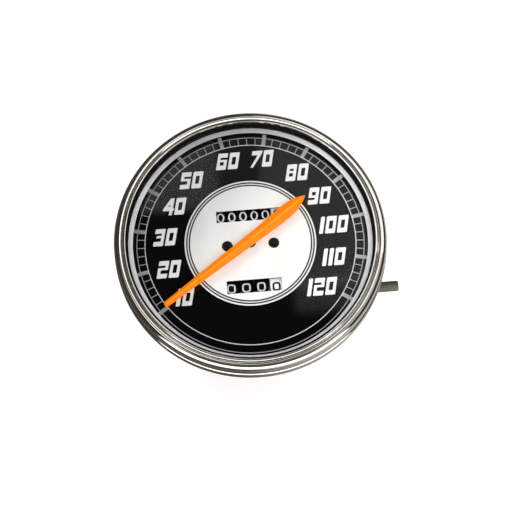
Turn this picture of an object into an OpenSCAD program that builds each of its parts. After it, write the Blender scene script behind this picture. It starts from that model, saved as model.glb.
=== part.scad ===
// Mechanical speedometer for a motorcycle tank dash: a five inch bezel over a drawn steel
// casing, with a magnetic drag-cup pointer, a six-wheel odometer and a four-wheel trip
// counter that a stem on the right-hand side resets.
// +Z points out of the dial, +Y to 12 o'clock and +X to the reset stem. The origin is on the
// dial's axis, at the rear face of the casing.

/* [Casing] */
// Sheet thickness of the casing
casing_wall = 1; // [0.8:0.1:1.4]
// Height from the rear face to the top of the casing's flange
casing_h = 53.2; // [52.4:0.1:60]
// Outside radius of the casing's rear corner
casing_corner = 5; // [3:0.5:8]
// How far the casing's flange stands out from its wall
flange_w = 10.7; // [10:0.1:11.4]
// Radius of each lamp hole in the rear wall
lamp_hole_r = 7.5; // [6:0.25:9]
// Distance of the lamp holes to the left of the axis
lamp_x = 32; // [29:0.5:35]
// Distance of each lamp hole above or below the axis
lamp_y = 16; // [12:0.5:20]

/* [Bezel and glass] */
// Width of the bezel, from the lip's inner edge to the outside of the main roll
bezel_w = 6.4; // [6.2:0.1:7.6]
// Gap between the casing's flange and the bezel's skirt
flange_play = 0.4; // [0.2:0.05:0.6]
// Height of the lip bead's centre over the dial
lip_rise = 8.2; // [8:0.1:9]
// Radius of the lip bead
lip_bead_r = 0.8; // [0.6:0.05:0.9]
// Radius of the second bead
step_bead_r = 0.95; // [0.8:0.05:1.05]
// Radius of the bezel's main roll
roll_r = 2.9; // [2.6:0.1:3.2]
// Height of the main roll's centre over the dial
roll_rise = 4.6; // [4:0.1:5]
// Sheet thickness of the bezel's skirt
skirt_wall = 0.9; // [0.7:0.05:1.1]
// Thickness of the rolled hem that grips the casing's flange
hem_t = 1.8; // [1.2:0.1:2.4]
// How far the rolled hem reaches under the casing's flange
hem_w = 2; // [1:0.1:3]
// Thickness of the glass
glass_t = 2; // [1.5:0.1:2.4]
// Height of the glass's underside over the dial
glass_rise = 5.2; // [5:0.1:5.3]
// How far the gasket shows inside the bezel's lip
gasket_show = 0.45; // [0.2:0.05:0.6]
// Width of the glass's edge that the gasket holds
glass_grip = 2.15; // [1.6:0.05:2.35]
// Distance from the scale's outer line to the white light ring
ring_gap = 1.65; // [1.1:0.05:2.3]
// Width of the light ring inside the bezel's lip
ring_w = 2.55; // [2.2:0.05:3]
// Height of the light ring's top at its outer edge
ring_rise = 2.9; // [2.6:0.1:3.4]
// Thickness of the light ring's plate
ring_t = 0.7; // [0.5:0.1:1]

/* [Dial] */
// Thickness of the black dial plate
dial_t = 1; // [0.8:0.1:1.2]
// Thickness of the cork ring under the dial
cork_t = 0.8; // [0.5:0.1:1.2]
// Thickness of the silver centre plate
centre_t = 0.3; // [0.2:0.05:0.5]
// Radius of the silver disc inside its two black lines
centre_r = 28.4; // [28.2:0.1:29]
// Outer radius of the silver centre plate
centre_outer_r = 30.85; // [30.6:0.05:31.2]
// Width of each black line round the silver disc
centre_line_w = 0.4; // [0.2:0.05:0.6]
// Radius of the speed scale's outer line. The ring, the bezel and the casing follow it.
scale_outer_r = 53.2; // [50:0.1:58]
// Width of the speed scale, between its two lines
scale_w = 3.8; // [3:0.1:4.5]
// Width of the scale's two lines
scale_line_w = 0.4; // [0.3:0.02:0.8]
// Width of the long tick at each numbered speed
major_w = 1.8; // [1:0.1:2]
// Width of the short ticks
minor_w = 0.38; // [0.3:0.02:0.6]
// How far the long ticks run past the outer line
major_over = 2; // [0.5:0.1:2.8]
// Angle from the lowest number to the highest
scale_sweep = 250.3; // [240:0.1:260]
// Thickness of the printed scale and numerals
print_t = 0.08; // [0.05:0.01:0.15]
// Height of the numerals
digit_h = 8.4; // [8:0.1:9.2]
// Width of a numeral
digit_w = 4.65; // [4.2:0.05:4.9]
// Width of the numeral one
one_w = 1.85; // [1.4:0.05:2]
// Space between numerals
digit_gap = 0.95; // [0.7:0.05:1.1]
// Width of the numerals' upright strokes
digit_stroke = 1.4; // [1.1:0.05:1.6]
// Height of the numerals' bottom and top strokes
digit_bar = 2.2; // [1.8:0.05:2.5]
// Height of the slit that opens a two, three, five, six or nine
digit_slit = 1.15; // [0.4:0.05:1.3]
// Height of the numerals' middle stroke
digit_mid = 1.1; // [0.9:0.05:1.4]
// Cut at the numerals' corners
digit_corner = 0.3; // [0.1:0.05:0.5]
// Lean of the numerals, in degrees
digit_lean = 12.6; // [8:0.2:14]

/* [Pointer] */
// Length of the pointer from its pivot to its tip
pointer_l = 50.4; // [47:0.1:52]
// Length of the pointer's tail
tail_l = 33.8; // [30:0.1:38]
// Greatest width of the pointer
pointer_w = 6.7; // [5.8:0.1:7.2]
// Width of the pointer just behind its tip
tip_w = 2.75; // [2:0.05:3.2]
// Width of the pointer at its pivot
waist_w = 5.5; // [4.8:0.1:5.8]
// Distance from the pivot to the widest place of the tail
tail_belly = 20; // [16:0.5:22]
// How far the end of the tail bows sideways
tail_bow = 0.9; // [0:0.05:1.2]
// Height of the pointer's underside over the dial
pointer_rise = 3.6; // [3.2:0.1:3.8]
// Thickness of the pointer at its edge
pointer_edge_t = 0.5; // [0.3:0.05:0.7]
// Thickness of the pointer at its ridge
pointer_ridge_t = 1.5; // [1:0.1:1.7]

/* [Number wheels] */
// Depth of the number wheels' axles under the dial
axle_depth = 12; // [12:0.1:13]
// Radius of the number wheels
wheel_r = 10; // [9.5:0.1:10.2]
// Spacing of the odometer wheels
odo_pitch = 5.3; // [5.2:0.05:5.35]
// Width of an odometer wheel's rim
odo_rim_w = 4.1; // [3.8:0.05:4.15]
// Centre of the odometer's last wheel
odo_last_x = 13.4; // [13:0.1:13.6]
// Height of the odometer's axle over the dial's centre
odo_y = 13.8; // [13.6:0.1:14.4]
// Spacing of the trip wheels
trip_pitch = 7; // [6.8:0.05:7.05]
// Width of a trip wheel's rim
trip_rim_w = 5.3; // [5:0.05:5.4]
// Centre of the trip counter's last wheel
trip_last_x = 10.5; // [10.2:0.1:10.8]
// Distance of the trip counter's axle below the dial's centre
trip_y = 21.2; // [21:0.1:21.8]
// Height of the odometer's window
odo_window_h = 5.6; // [5:0.1:6]
// Height of the trip counter's window
trip_window_h = 6.3; // [5.6:0.1:6.6]
// Left edge of the odometer's window
odo_window_x0 = -15.1; // [-15.4:0.1:-14.8]
// Right edge of the odometer's window
odo_window_x1 = 15.7; // [15.3:0.1:16]
// Left edge of the trip counter's window
trip_window_x0 = -12.5; // [-12.8:0.1:-12]
// Right edge of the trip counter's window
trip_window_x1 = 13.1; // [12.8:0.1:13.4]
// Radius of the axles that carry the number wheels
axle_r = 1.5; // [1.2:0.05:1.8]
// Radius of the axles that carry the transfer pinions
pinion_axle_r = 0.8; // [0.6:0.05:0.9]

/* [Drive] */
// Radius of the drive shaft, the counter shaft and the cross shaft
shaft_r = 1.5; // [1.2:0.05:1.6]
// Radius of the magnet rotor
magnet_r = 9.6; // [8.5:0.1:9.8]
// Height of the magnet rotor
magnet_h = 5.8; // [5:0.1:6]
// Outside radius of the speed cup
cup_r = 11; // [10.8:0.05:11.2]
// Thickness of the speed cup's sheet
cup_wall = 0.6; // [0.4:0.05:0.7]
// Radius of the pointer's spindle
spindle_r = 0.7; // [0.6:0.05:0.8]
// Height of the counter shaft, as a share of the way from the base plate to the wheels' axles
counter_share = 0.232; // [0.225:0.001:0.245]
// Axial position of the cross shaft along the odometer
cross_x = 18.5; // [18.3:0.05:18.6]
// Thickness of the spur gears
gear_t = 2; // [1.6:0.1:2.2]

/* [Mounting and reset] */
// Radius of the two mounting studs
stud_r = 3; // [2.5:0.1:3.5]
// Length of the studs behind the casing
stud_l = 16; // [12:0.5:22]
// Diameter of the circle that the studs lie on
stud_pcd = 76; // [72:0.5:80]
// Radius of the cable spigot's thread
spigot_r = 7.9; // [7.4:0.1:8.4]
// Length of the cable spigot
spigot_l = 12; // [11:0.5:16]
// Radius of the spigot's mouth, which takes the cable's ferrule
mouth_r = 5; // [4.5:0.1:5.4]
// Depth of the spigot's mouth
mouth_depth = 6; // [4:0.5:7]
// Radius of the reset stem
stem_r = 2.5; // [2:0.05:2.8]
// How far the reset stem stands out beyond the casing's wall
stem_out = 17.5; // [14:0.5:22]
// How far the reset stem lies above the trip counter's axle, as seen on the dial
stem_offset = 0.5; // [0:0.1:1]

/* [Hidden] */
$fn = 96;
eps = 0.01;

// Clearances
run_gap = 0.05;      // radial, between a shaft and its bearing
fix_gap = 0.02;      // radial, between pieces that are pressed or screwed together
free_gap = 0.3;      // between pieces that pass each other

// Stack of the dial, from the casing's flange up
flange_t = casing_wall;
dial_z = casing_h + cork_t + dial_t;         // top of the black dial
scale_r = scale_outer_r - scale_w;
ring_r = scale_outer_r + ring_gap;
lip_r = ring_r + ring_w;
bezel_r = lip_r + bezel_w;
skirt_r = bezel_r - 0.3;
skirt_in_r = skirt_r - skirt_wall;
flange_r = skirt_in_r - flange_play;
hem_r = flange_r - hem_w;
rim_t = 0.9;                                 // upstand at the flange's edge
rim_h = cork_t + dial_t + 2.2;
seat_r = flange_r - rim_t - run_gap;         // what lies inside the upstand
body_r = flange_r - flange_w;
inner_r = body_r - casing_wall;

// Scale and numerals
major_count = 12;
minor_count = 4;
major_step = scale_sweep / (major_count - 1);
scale_a0 = -scale_sweep / 2;
line_sides = 180;                            // sides of the scale's two lines
// Middle of each number, in radii of the scale's inner line
numeral_place = [
    [-0.650, -0.490], [-0.785, -0.205], [-0.802, 0.117], [-0.698, 0.421], [-0.518, 0.678],
    [-0.154, 0.847], [0.176, 0.847], [0.504, 0.678], [0.696, 0.421], [0.806, 0.117],
    [0.776, -0.205], [0.636, -0.490]
];
odo_window_y = 10.8;                         // lower edges of the windows
trip_window_y = -24.5;
screw_x = 10.9;                              // dial screws beside the pointer
screw_y = -1.1;
screw_r = 1.2;
screw_head_r = 2.2;
centre_hole_r = 2.6;
ring_foot_r = ring_r + 1.95;                 // the ring's foot stands back under its edge

// Glass, its gasket and the bezel, as heights over the dial
lip_under = lip_rise - 0.6;
gasket_in_r = lip_r - gasket_show;
glass_r = gasket_in_r + glass_grip;
gasket_out_r = glass_r + 0.6;
step_x = lip_r + lip_bead_r + 1.35;
hem_z = casing_h - flange_t - dial_z - hem_t;

// Stack of the movement, from the rear face up
wall_top = casing_wall;
foot_t = 2;                                  // stud heads and the spigot's flange
base_z = wall_top + foot_t;
base_t = 2.5;
base_top = base_z + base_t;
base_r = inner_r - 5;
bridge_t = 2;
bridge_z = dial_z - 5;
bridge_top = bridge_z + bridge_t;
bridge_y0 = -9.5;
bridge_y1 = 2.2;
pillar_x = inner_r - 12;
pillar_y = (bridge_y0 + bridge_y1) / 2;
pillar_r = 2.5;
tenon_r = 1.5;

// Counters
axle_z = dial_z - axle_depth;
odo_count = 6;
trip_count = 4;
wheel_teeth = 20;
pinion_teeth = 8;
wheel_mod = 0.8;
side_gear_t = 0.6;
pinion_t = 0.8;
pinion_side = 0.2;                           // from a wheel's side to the pinion
pinion_off = (wheel_teeth + pinion_teeth) * wheel_mod / 2;
pinion_drop = 35;                            // angle of the pinions under the wheels' axles
odo_pinion_y = odo_y + pinion_off * cos(pinion_drop);
trip_pinion_y = -trip_y - pinion_off * cos(pinion_drop);
pinion_z = axle_z - pinion_off * sin(pinion_drop);
ear_t = 1.5;
bar_t = 2;
bar_z = axle_z - wheel_r - 4;
odo_ear_x0 = odo_last_x - (odo_count - 1) * odo_pitch - odo_rim_w / 2 - free_gap - ear_t;
odo_ear_x1 = cross_x + 3.5;
trip_ear_x0 = trip_last_x - (trip_count - 1) * trip_pitch - trip_rim_w / 2 - free_gap - ear_t;
trip_gear_x = cross_x + 3.5;
trip_ear_x1 = trip_gear_x + gear_t + 2;

// Gear train: a worm on the drive shaft, two spur meshes, then a worm under each counter
gear_mod = 0.5;
worm_mod = 0.6;
worm_pitch = PI * worm_mod;
worm_mid_r = 2.4;
worm_wave = 0.5;                             // half the height of the worm's thread
worm_turns = 4;
counter_z = base_top + counter_share * (axle_z - base_top);
counter_teeth = 25;
counter_wheel_r = counter_teeth * worm_mod / 2;
counter_x = counter_wheel_r + worm_mid_r;
count_wheel_teeth = 20;
count_wheel_r = count_wheel_teeth * worm_mod / 2;
cross_drop = count_wheel_r + worm_mid_r + 0.1;
cross_z = axle_z - cross_drop;
small_teeth = 12;
idler_teeth = 38;
large_teeth = 24;
gears_y = -4.75;
to_idler = (small_teeth + idler_teeth) * gear_mod / 2;
from_idler = (idler_teeth + large_teeth) * gear_mod / 2;
train_dx = cross_x - counter_x;
train_dz = cross_z - counter_z;
train_l = sqrt(train_dx * train_dx + train_dz * train_dz);
train_cos = (to_idler * to_idler + train_l * train_l - from_idler * from_idler)
    / (2 * to_idler * train_l);
idler_a = atan2(train_dz, train_dx) - acos(train_cos);
idler_x = counter_x + to_idler * cos(idler_a);
idler_z = counter_z + to_idler * sin(idler_a);
large_a = atan2(cross_z - idler_z, cross_x - idler_x);
small_phase = idler_a;
idler_phase = idler_a + 180 + 180 / idler_teeth;
large_phase = large_a + 180 + 180 / large_teeth + (large_a - idler_phase) * idler_teeth / large_teeth;
bracket_t = 2;
bracket_y = gears_y - gear_t / 2 - 0.45 - bracket_t;
lug_y = 3;                                   // second bearing of the counter shaft
post_t = 2;
odo_post_y = odo_y + 5.4;
trip_post_y = -trip_y - 5.4 - post_t;
strip_t = 1.5;
strip_x0 = cross_x - 3.5;
strip_x1 = cross_x + 3;

// Drive, speed cup and hairspring
neck_r = spigot_r + 0.3;                     // of the spigot, where it goes through the casing
stud_neck_r = stud_r + 0.3;
bush_outer_r = 4;
socket_end_r = 2.4;
socket_w = 2.7;
drive_end_z = mouth_depth - spigot_l + 0.5;
magnet_z = axle_z - wheel_r - 8.8;
drive_top = magnet_z + magnet_h;
pivot_z = drive_top - 3;
cup_z0 = magnet_z - 0.2;
cup_z1 = drive_top + 0.9 + cup_wall;
spring_z = cup_z1 + 0.9;
spring_h = 0.8;
spring_w = 0.3;
spring_r0 = 2.2;
spring_r1 = 7;
spring_turns = 5;
spring_stud_r = 0.8;
spring_stud_at = spring_r1 + spring_w / 2 + spring_stud_r + 0.05;
collet_r = spring_r0 - spring_w / 2 - 0.1;
hub_r = 2;
spindle_in = 0.9;                            // how far the spindle goes into the pointer
rest_angle = 214.6;                          // the pointer at rest, counterclockwise from +X

// Reset
reset_teeth = 16;
reset_off = reset_teeth * gear_mod;
stem_end_x = body_r + stem_out;
stem_y = -trip_y + stem_offset;
journal_r = stem_r - 0.3;                    // of the stem, in its bearings
stem_z = axle_z - sqrt(reset_off * reset_off - stem_offset * stem_offset);
reset_a = atan2(axle_z - stem_z, -stem_offset);
boss_r = 6;
boss_x = sqrt(body_r * body_r - pow(abs(stem_y) - boss_r, 2)) + 0.5;
bush_r = 4;
bush_x0 = inner_r - 7.5;
shoulder_x = boss_x + 2;                     // where the stem takes its outer size

// Shapes that repeat

// An arc as a list of points
function arc(cx, cy, r, a0, a1, n = 8) =
    [for (i = [0:n]) let (a = a0 + (a1 - a0) * i / n) [cx + r * cos(a), cy + r * sin(a)]];
function direction(a) = [cos(a), sin(a)];
// A point leaned over by the numerals' angle
function lean(p) = [p[0] + p[1] * tan(digit_lean), p[1]];

// Puts a shape drawn along Z onto an axis along X, which starts at x
module along_x(x, y, z) {
    translate([x, y, z]) rotate([90, 0, 90]) children();
}
// Puts a shape drawn along Z onto an axis along Y, which starts at y and ends h higher
module along_y(x, y, z, h) {
    translate([x, y + h, z]) rotate([90, 0, 0]) children();
}
// A ring about the dial's axis
module ring(r_in, r_out, z, h) {
    translate([0, 0, z]) difference() {
        cylinder(r = r_out, h = h);
        translate([0, 0, -1]) cylinder(r = r_in, h = h + 2);
    }
}
// A disc with straight-sided teeth; share is a tooth's width over the pitch
module toothed(teeth, tip_r, root_r, share) {
    step = 360 / teeth;
    polygon([for (i = [0:teeth - 1])
        for (p = [[root_r, -share * 0.62], [tip_r, -share * 0.3],
                  [tip_r, share * 0.3], [root_r, share * 0.62]])
            let (a = step * (i + p[1])) [p[0] * cos(a), p[0] * sin(a)]]);
}
module spur(teeth, mod, h, phase) {
    rotate(phase) linear_extrude(h)
        toothed(teeth, (teeth / 2 + 0.8) * mod, (teeth / 2 - 1.15) * mod, 0.42);
}
module worm_wheel(r, teeth, h, phase) {
    rotate(phase) linear_extrude(h)
        toothed(teeth, r + worm_wave * 0.4, r - worm_wave - 0.25, 0.44);
}
// A single-start worm centred on its own axis, with a gap of its thread facing +X in the middle
module worm() {
    l = worm_pitch * worm_turns;
    difference() {
        translate([0, 0, -l / 2])
            linear_extrude(height = l, twist = -360 * worm_turns, slices = 12 * worm_turns, $fn = 16)
                translate([-worm_wave, 0]) circle(r = worm_mid_r);
        translate([0, 0, -l]) cylinder(r = shaft_r + fix_gap, h = 2 * l);
    }
}

// Casing and mounting

module casing() {
    color("dimgray") difference() {
        union() {
            rotate_extrude() polygon(concat(
                [[0, 0]],
                arc(body_r - casing_corner, casing_corner, casing_corner, -90, 0),
                [[body_r, casing_h - flange_t], [flange_r, casing_h - flange_t],
                 [flange_r, casing_h + rim_h], [flange_r - rim_t, casing_h + rim_h],
                 [flange_r - rim_t, casing_h], [inner_r, casing_h]],
                arc(body_r - casing_corner, casing_corner, casing_corner - casing_wall, 0, -90),
                [[0, casing_wall]]));
            difference() {
                along_x(body_r - 15, stem_y, stem_z) cylinder(r = boss_r, h = boss_x - body_r + 15);
                translate([0, 0, casing_corner]) cylinder(r = inner_r, h = casing_h);
            }
        }
        along_x(0, stem_y, stem_z) cylinder(r = bush_r + fix_gap, h = body_r + 10);
        translate([0, 0, -1]) {
            cylinder(r = neck_r + fix_gap, h = casing_wall + 2);
            for (s = [-1, 1]) {
                translate([0, s * stud_pcd / 2, 0])
                    cylinder(r = stud_neck_r + fix_gap, h = casing_wall + 2);
                translate([-lamp_x, s * lamp_y, 0]) cylinder(r = lamp_hole_r, h = casing_wall + 2);
            }
        }
    }
}

module mounting_studs() {
    color("silver") for (s = [-1, 1]) translate([0, s * stud_pcd / 2, 0]) {
        translate([0, 0, -stud_l]) cylinder(r = stud_r, h = stud_l);
        cylinder(r = stud_neck_r, h = wall_top);
        translate([0, 0, wall_top]) cylinder(r = stud_r + 2, h = foot_t);
    }
}

module cable_spigot() {
    color("goldenrod") difference() {
        union() {
            translate([0, 0, -spigot_l]) cylinder(r = spigot_r, h = spigot_l);
            cylinder(r = neck_r, h = wall_top);
            translate([0, 0, wall_top]) cylinder(r = spigot_r + 4, h = foot_t);
        }
        translate([0, 0, -spigot_l - 1]) cylinder(r = mouth_r, h = mouth_depth + 1);
        translate([0, 0, -spigot_l]) cylinder(r = bush_outer_r + fix_gap, h = spigot_l + base_z + 1);
    }
}

module shaft_bush() {
    color("darkgoldenrod") difference() {
        union() {
            translate([0, 0, mouth_depth - spigot_l])
                cylinder(r = bush_outer_r, h = spigot_l - mouth_depth + base_z);
            translate([0, 0, base_z]) cylinder(r = bush_outer_r + 1.2, h = 1);
        }
        translate([0, 0, -spigot_l]) cylinder(r = socket_end_r + run_gap, h = spigot_l + base_top);
    }
}

module base_plate() {
    color("darkgray") difference() {
        translate([0, 0, base_z]) cylinder(r = base_r, h = base_t);
        translate([0, 0, base_z - 1]) {
            cylinder(r = bush_outer_r + 1.2 + free_gap, h = base_t + 2);
            for (s = [-1, 1]) {
                translate([-lamp_x, s * lamp_y, 0]) cylinder(r = lamp_hole_r + 1, h = base_t + 2);
                translate([s * pillar_x, pillar_y, 0]) cylinder(r = tenon_r + fix_gap, h = base_t + 2);
            }
        }
    }
}

// Frames of the movement

module bridge_pillars() {
    color("silver") for (s = [-1, 1]) translate([s * pillar_x, pillar_y, 0]) {
        translate([0, 0, base_z]) cylinder(r = tenon_r, h = bridge_top - base_z);
        translate([0, 0, base_top]) cylinder(r = pillar_r, h = bridge_z - base_top);
        translate([0, 0, bridge_top]) cylinder(r = tenon_r + 0.7, h = 0.6);
    }
}

module top_bridge() {
    color("darkgray") difference() {
        union() {
            translate([-pillar_x - 4, bridge_y0, bridge_z])
                cube([2 * pillar_x + 8, bridge_y1 - bridge_y0, bridge_t]);
            for (s = [-1, 1]) translate([s * screw_x, screw_y, bridge_z])
                cylinder(r = 3, h = dial_z - dial_t - bridge_z);
        }
        translate([0, 0, bridge_z - 1]) {
            cylinder(r = spindle_r + run_gap, h = bridge_t + 2);
            for (s = [-1, 1]) {
                translate([s * pillar_x, pillar_y, 0]) cylinder(r = tenon_r + fix_gap, h = bridge_t + 2);
                translate([s * screw_x, screw_y, 0]) cylinder(r = screw_r + fix_gap, h = 8);
            }
            translate([0, -spring_stud_at, 0]) cylinder(r = spring_stud_r + fix_gap, h = bridge_t + 2);
        }
    }
}

// The gear bracket's plate, seen along Y
module bracket_outline() {
    polygon([[strip_x0, base_top], [strip_x1, base_top], [idler_x + 3, idler_z - 3],
             [idler_x + 3, idler_z + 3], [cross_x + 3, cross_z - 2], [cross_x + 3, cross_z + 3],
             [cross_x - 3, cross_z + 3], [cross_x - 3, cross_z - 3], [idler_x - 4, idler_z + 3],
             [counter_x + 2.5, counter_z + 3], [counter_x - 2.8, counter_z + 3],
             [counter_x - 2.8, counter_z - 3]]);
}

module gear_bracket() {
    color("gray") difference() {
        union() {
            translate([strip_x0, trip_post_y, base_top])
                cube([strip_x1 - strip_x0, odo_post_y + post_t - trip_post_y, strip_t]);
            for (y = [trip_post_y, odo_post_y]) translate([cross_x - 2, y, base_top])
                cube([4, post_t, cross_z + 3 - base_top]);
            along_y(0, bracket_y, 0, bracket_t) linear_extrude(bracket_t) bracket_outline();
            along_y(0, lug_y, 0, post_t) linear_extrude(post_t)
                polygon([[strip_x0 - 2, base_top], [strip_x1, base_top], [counter_x + 2.8, counter_z + 3],
                         [counter_x - 2.8, counter_z + 3], [counter_x - 2.8, counter_z - 3]]);
        }
        along_y(counter_x, bracket_y - 1, counter_z, 20) cylinder(r = shaft_r + run_gap, h = 20);
        along_y(idler_x, bracket_y - 1, idler_z, bracket_t + 2)
            cylinder(r = shaft_r + fix_gap, h = bracket_t + 2);
        along_y(idler_x, gears_y - gear_t / 2 - free_gap, idler_z, gear_t + 2 * free_gap)
            cylinder(r = (idler_teeth / 2 + 1.2) * gear_mod, h = gear_t + 2 * free_gap);
        along_y(cross_x, trip_post_y - 1, cross_z, odo_post_y - trip_post_y + 4)
            cylinder(r = shaft_r + run_gap, h = odo_post_y - trip_post_y + 4);
    }
}

module idler_stub() {
    color("silver") {
        along_y(idler_x, bracket_y, idler_z, -bracket_y + gears_y + gear_t / 2 + 0.3)
            cylinder(r = shaft_r, h = -bracket_y + gears_y + gear_t / 2 + 0.3);
        along_y(idler_x, gears_y + gear_t / 2 + 0.3, idler_z, 0.7) cylinder(r = shaft_r + 1, h = 0.7);
        along_y(idler_x, bracket_y + bracket_t, idler_z, 0.3) cylinder(r = shaft_r + 1, h = 0.3);
    }
}

// A cheek plate seen along X. It stands on the base plate and holds two axles.
module cheek_outline(y, pin_y, out) {
    polygon([[y - 3.5, base_top], [y + 3.5, base_top], [y + 3.5, axle_z - 3], [y + 3, axle_z + 3],
             [y - 3, axle_z + 3], [y - 3.5, axle_z - 3]]);
    polygon([[y, axle_z - 14], [pin_y + out * 1.5, pinion_z - 2.5], [pin_y + out * 2.2, pinion_z + 1.5],
             [pin_y, pinion_z + 2.2], [y, axle_z]]);
}

module odometer_frame() {
    color("gray") difference() {
        union() {
            for (x = [odo_ear_x0, odo_ear_x1])
                along_x(x, 0, 0) linear_extrude(ear_t) cheek_outline(odo_y, odo_pinion_y, 1);
            translate([odo_ear_x0, odo_y - 1, bar_z])
                cube([odo_ear_x1 + ear_t - odo_ear_x0, 4, bar_t]);
        }
        along_x(odo_ear_x0 - 1, odo_y, axle_z)
            cylinder(r = axle_r + fix_gap, h = odo_ear_x1 - odo_ear_x0 + 4);
        along_x(odo_ear_x0 - 1, odo_pinion_y, pinion_z)
            cylinder(r = pinion_axle_r + fix_gap, h = odo_ear_x1 - odo_ear_x0 + 4);
    }
}

module trip_frame() {
    color("gray") difference() {
        union() {
            for (x = [trip_ear_x0, trip_ear_x1])
                along_x(x, 0, 0) linear_extrude(ear_t) cheek_outline(-trip_y, trip_pinion_y, -1);
            translate([trip_ear_x0, -trip_y - 1, bar_z - 2])
                cube([trip_ear_x1 + ear_t - trip_ear_x0, 4, bar_t]);
        }
        along_x(trip_ear_x0 - 1, -trip_y, axle_z)
            cylinder(r = axle_r + run_gap, h = trip_ear_x1 - trip_ear_x0 + 4);
        along_x(trip_ear_x0 - 1, trip_pinion_y, pinion_z)
            cylinder(r = pinion_axle_r + run_gap, h = trip_ear_x1 - trip_ear_x0 + 4);
        along_x(trip_ear_x1 - 1, stem_y, stem_z) cylinder(r = journal_r + run_gap, h = ear_t + 2);
    }
}

module odometer_axle() {
    color("silver") along_x(odo_ear_x0, odo_y, axle_z)
        cylinder(r = axle_r, h = odo_ear_x1 + ear_t - odo_ear_x0);
}

module odometer_pinion_axle() {
    color("silver") along_x(odo_ear_x0, odo_pinion_y, pinion_z)
        cylinder(r = pinion_axle_r, h = odo_ear_x1 + ear_t - odo_ear_x0);
}

// Hairspring, from the collet to the stud

function spiral_point(t, side) =
    let (r = spring_r0 + (spring_r1 - spring_r0) * t + side * spring_w / 2,
         a = -90 + 360 * spring_turns * (t - 1))
    [r * cos(a), r * sin(a)];

module hairspring() {
    steps = spring_turns * 30;
    echo(hairspring_gap = (spring_r1 - spring_r0) / spring_turns - spring_w);
    color("orange") translate([0, 0, spring_z]) linear_extrude(spring_h)
        polygon(concat([for (i = [0:steps]) spiral_point(i / steps, 1)],
                       [for (i = [steps:-1:0]) spiral_point(i / steps, -1)]));
}

module hairspring_stud() {
    color("silver") translate([0, -spring_stud_at, spring_z])
        cylinder(r = spring_stud_r, h = bridge_top - spring_z);
}

// Dial

module windows(z, h) {
    translate([odo_window_x0, odo_window_y, z])
        cube([odo_window_x1 - odo_window_x0, odo_window_h, h]);
    translate([trip_window_x0, trip_window_y, z])
        cube([trip_window_x1 - trip_window_x0, trip_window_h, h]);
}

module dial_gasket() {
    color("peru") ring(inner_r + 1.2, seat_r, casing_h, cork_t);
}

module dial_plate() {
    color("black") difference() {
        translate([0, 0, dial_z - dial_t]) cylinder(r = seat_r, h = dial_t);
        windows(dial_z - dial_t - 1, dial_t + 2);
        translate([0, 0, dial_z - dial_t - 1]) {
            cylinder(r = centre_hole_r - 0.6, h = dial_t + 2);
            for (s = [-1, 1]) translate([s * screw_x, screw_y, 0])
                cylinder(r = screw_r + 0.1, h = dial_t + 2);
        }
    }
}

module centre_plate() {
    color("gainsboro") difference() {
        translate([0, 0, dial_z]) cylinder(r = centre_outer_r, h = centre_t);
        windows(dial_z - 1, centre_t + 2);
        translate([0, 0, dial_z - 1]) {
            cylinder(r = centre_hole_r, h = centre_t + 2);
            for (s = [-1, 1]) translate([s * screw_x, screw_y, 0])
                cylinder(r = screw_head_r + 0.4, h = centre_t + 2);
        }
    }
}

// A printed line round the dial, as a fine polygon
module line_ring(r, w) {
    difference() {
        polygon([for (i = [0:line_sides - 1]) (r + w / 2) * direction(i * 360 / line_sides)]);
        polygon([for (i = [0:line_sides - 1]) (r - w / 2) * direction(i * 360 / line_sides)]);
    }
}
module tick(a, r0, r1, w) {
    rotate(-a) translate([-w / 2, r0]) square([w, r1 - r0]);
}

module dial_scale() {
    color("white") translate([0, 0, dial_z]) linear_extrude(print_t) {
        line_ring(scale_r, scale_line_w);
        line_ring(scale_outer_r, scale_line_w);
        for (i = [0:major_count - 1])
            tick(scale_a0 + i * major_step, scale_r, scale_outer_r + major_over, major_w);
        for (i = [0:major_count - 2], j = [1:minor_count])
            tick(scale_a0 + (i + j / (minor_count + 1)) * major_step, scale_r, scale_outer_r, minor_w);
    }
    color("black") for (r = [centre_r, centre_outer_r - 1.25])
        ring(r, r + centre_line_w, dial_z + centre_t, print_t);
}

module box(u0, v0, u1, v1) {
    polygon([lean([u0, v0]), lean([u1, v0]), lean([u1, v1]), lean([u0, v1])]);
}
module plain_digit(w) {
    c = digit_corner;
    polygon([for (p = [[c, 0], [w - c, 0], [w, c], [w, digit_h - c], [w - c, digit_h],
                       [c, digit_h], [0, digit_h - c], [0, c]]) lean(p)]);
}
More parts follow.
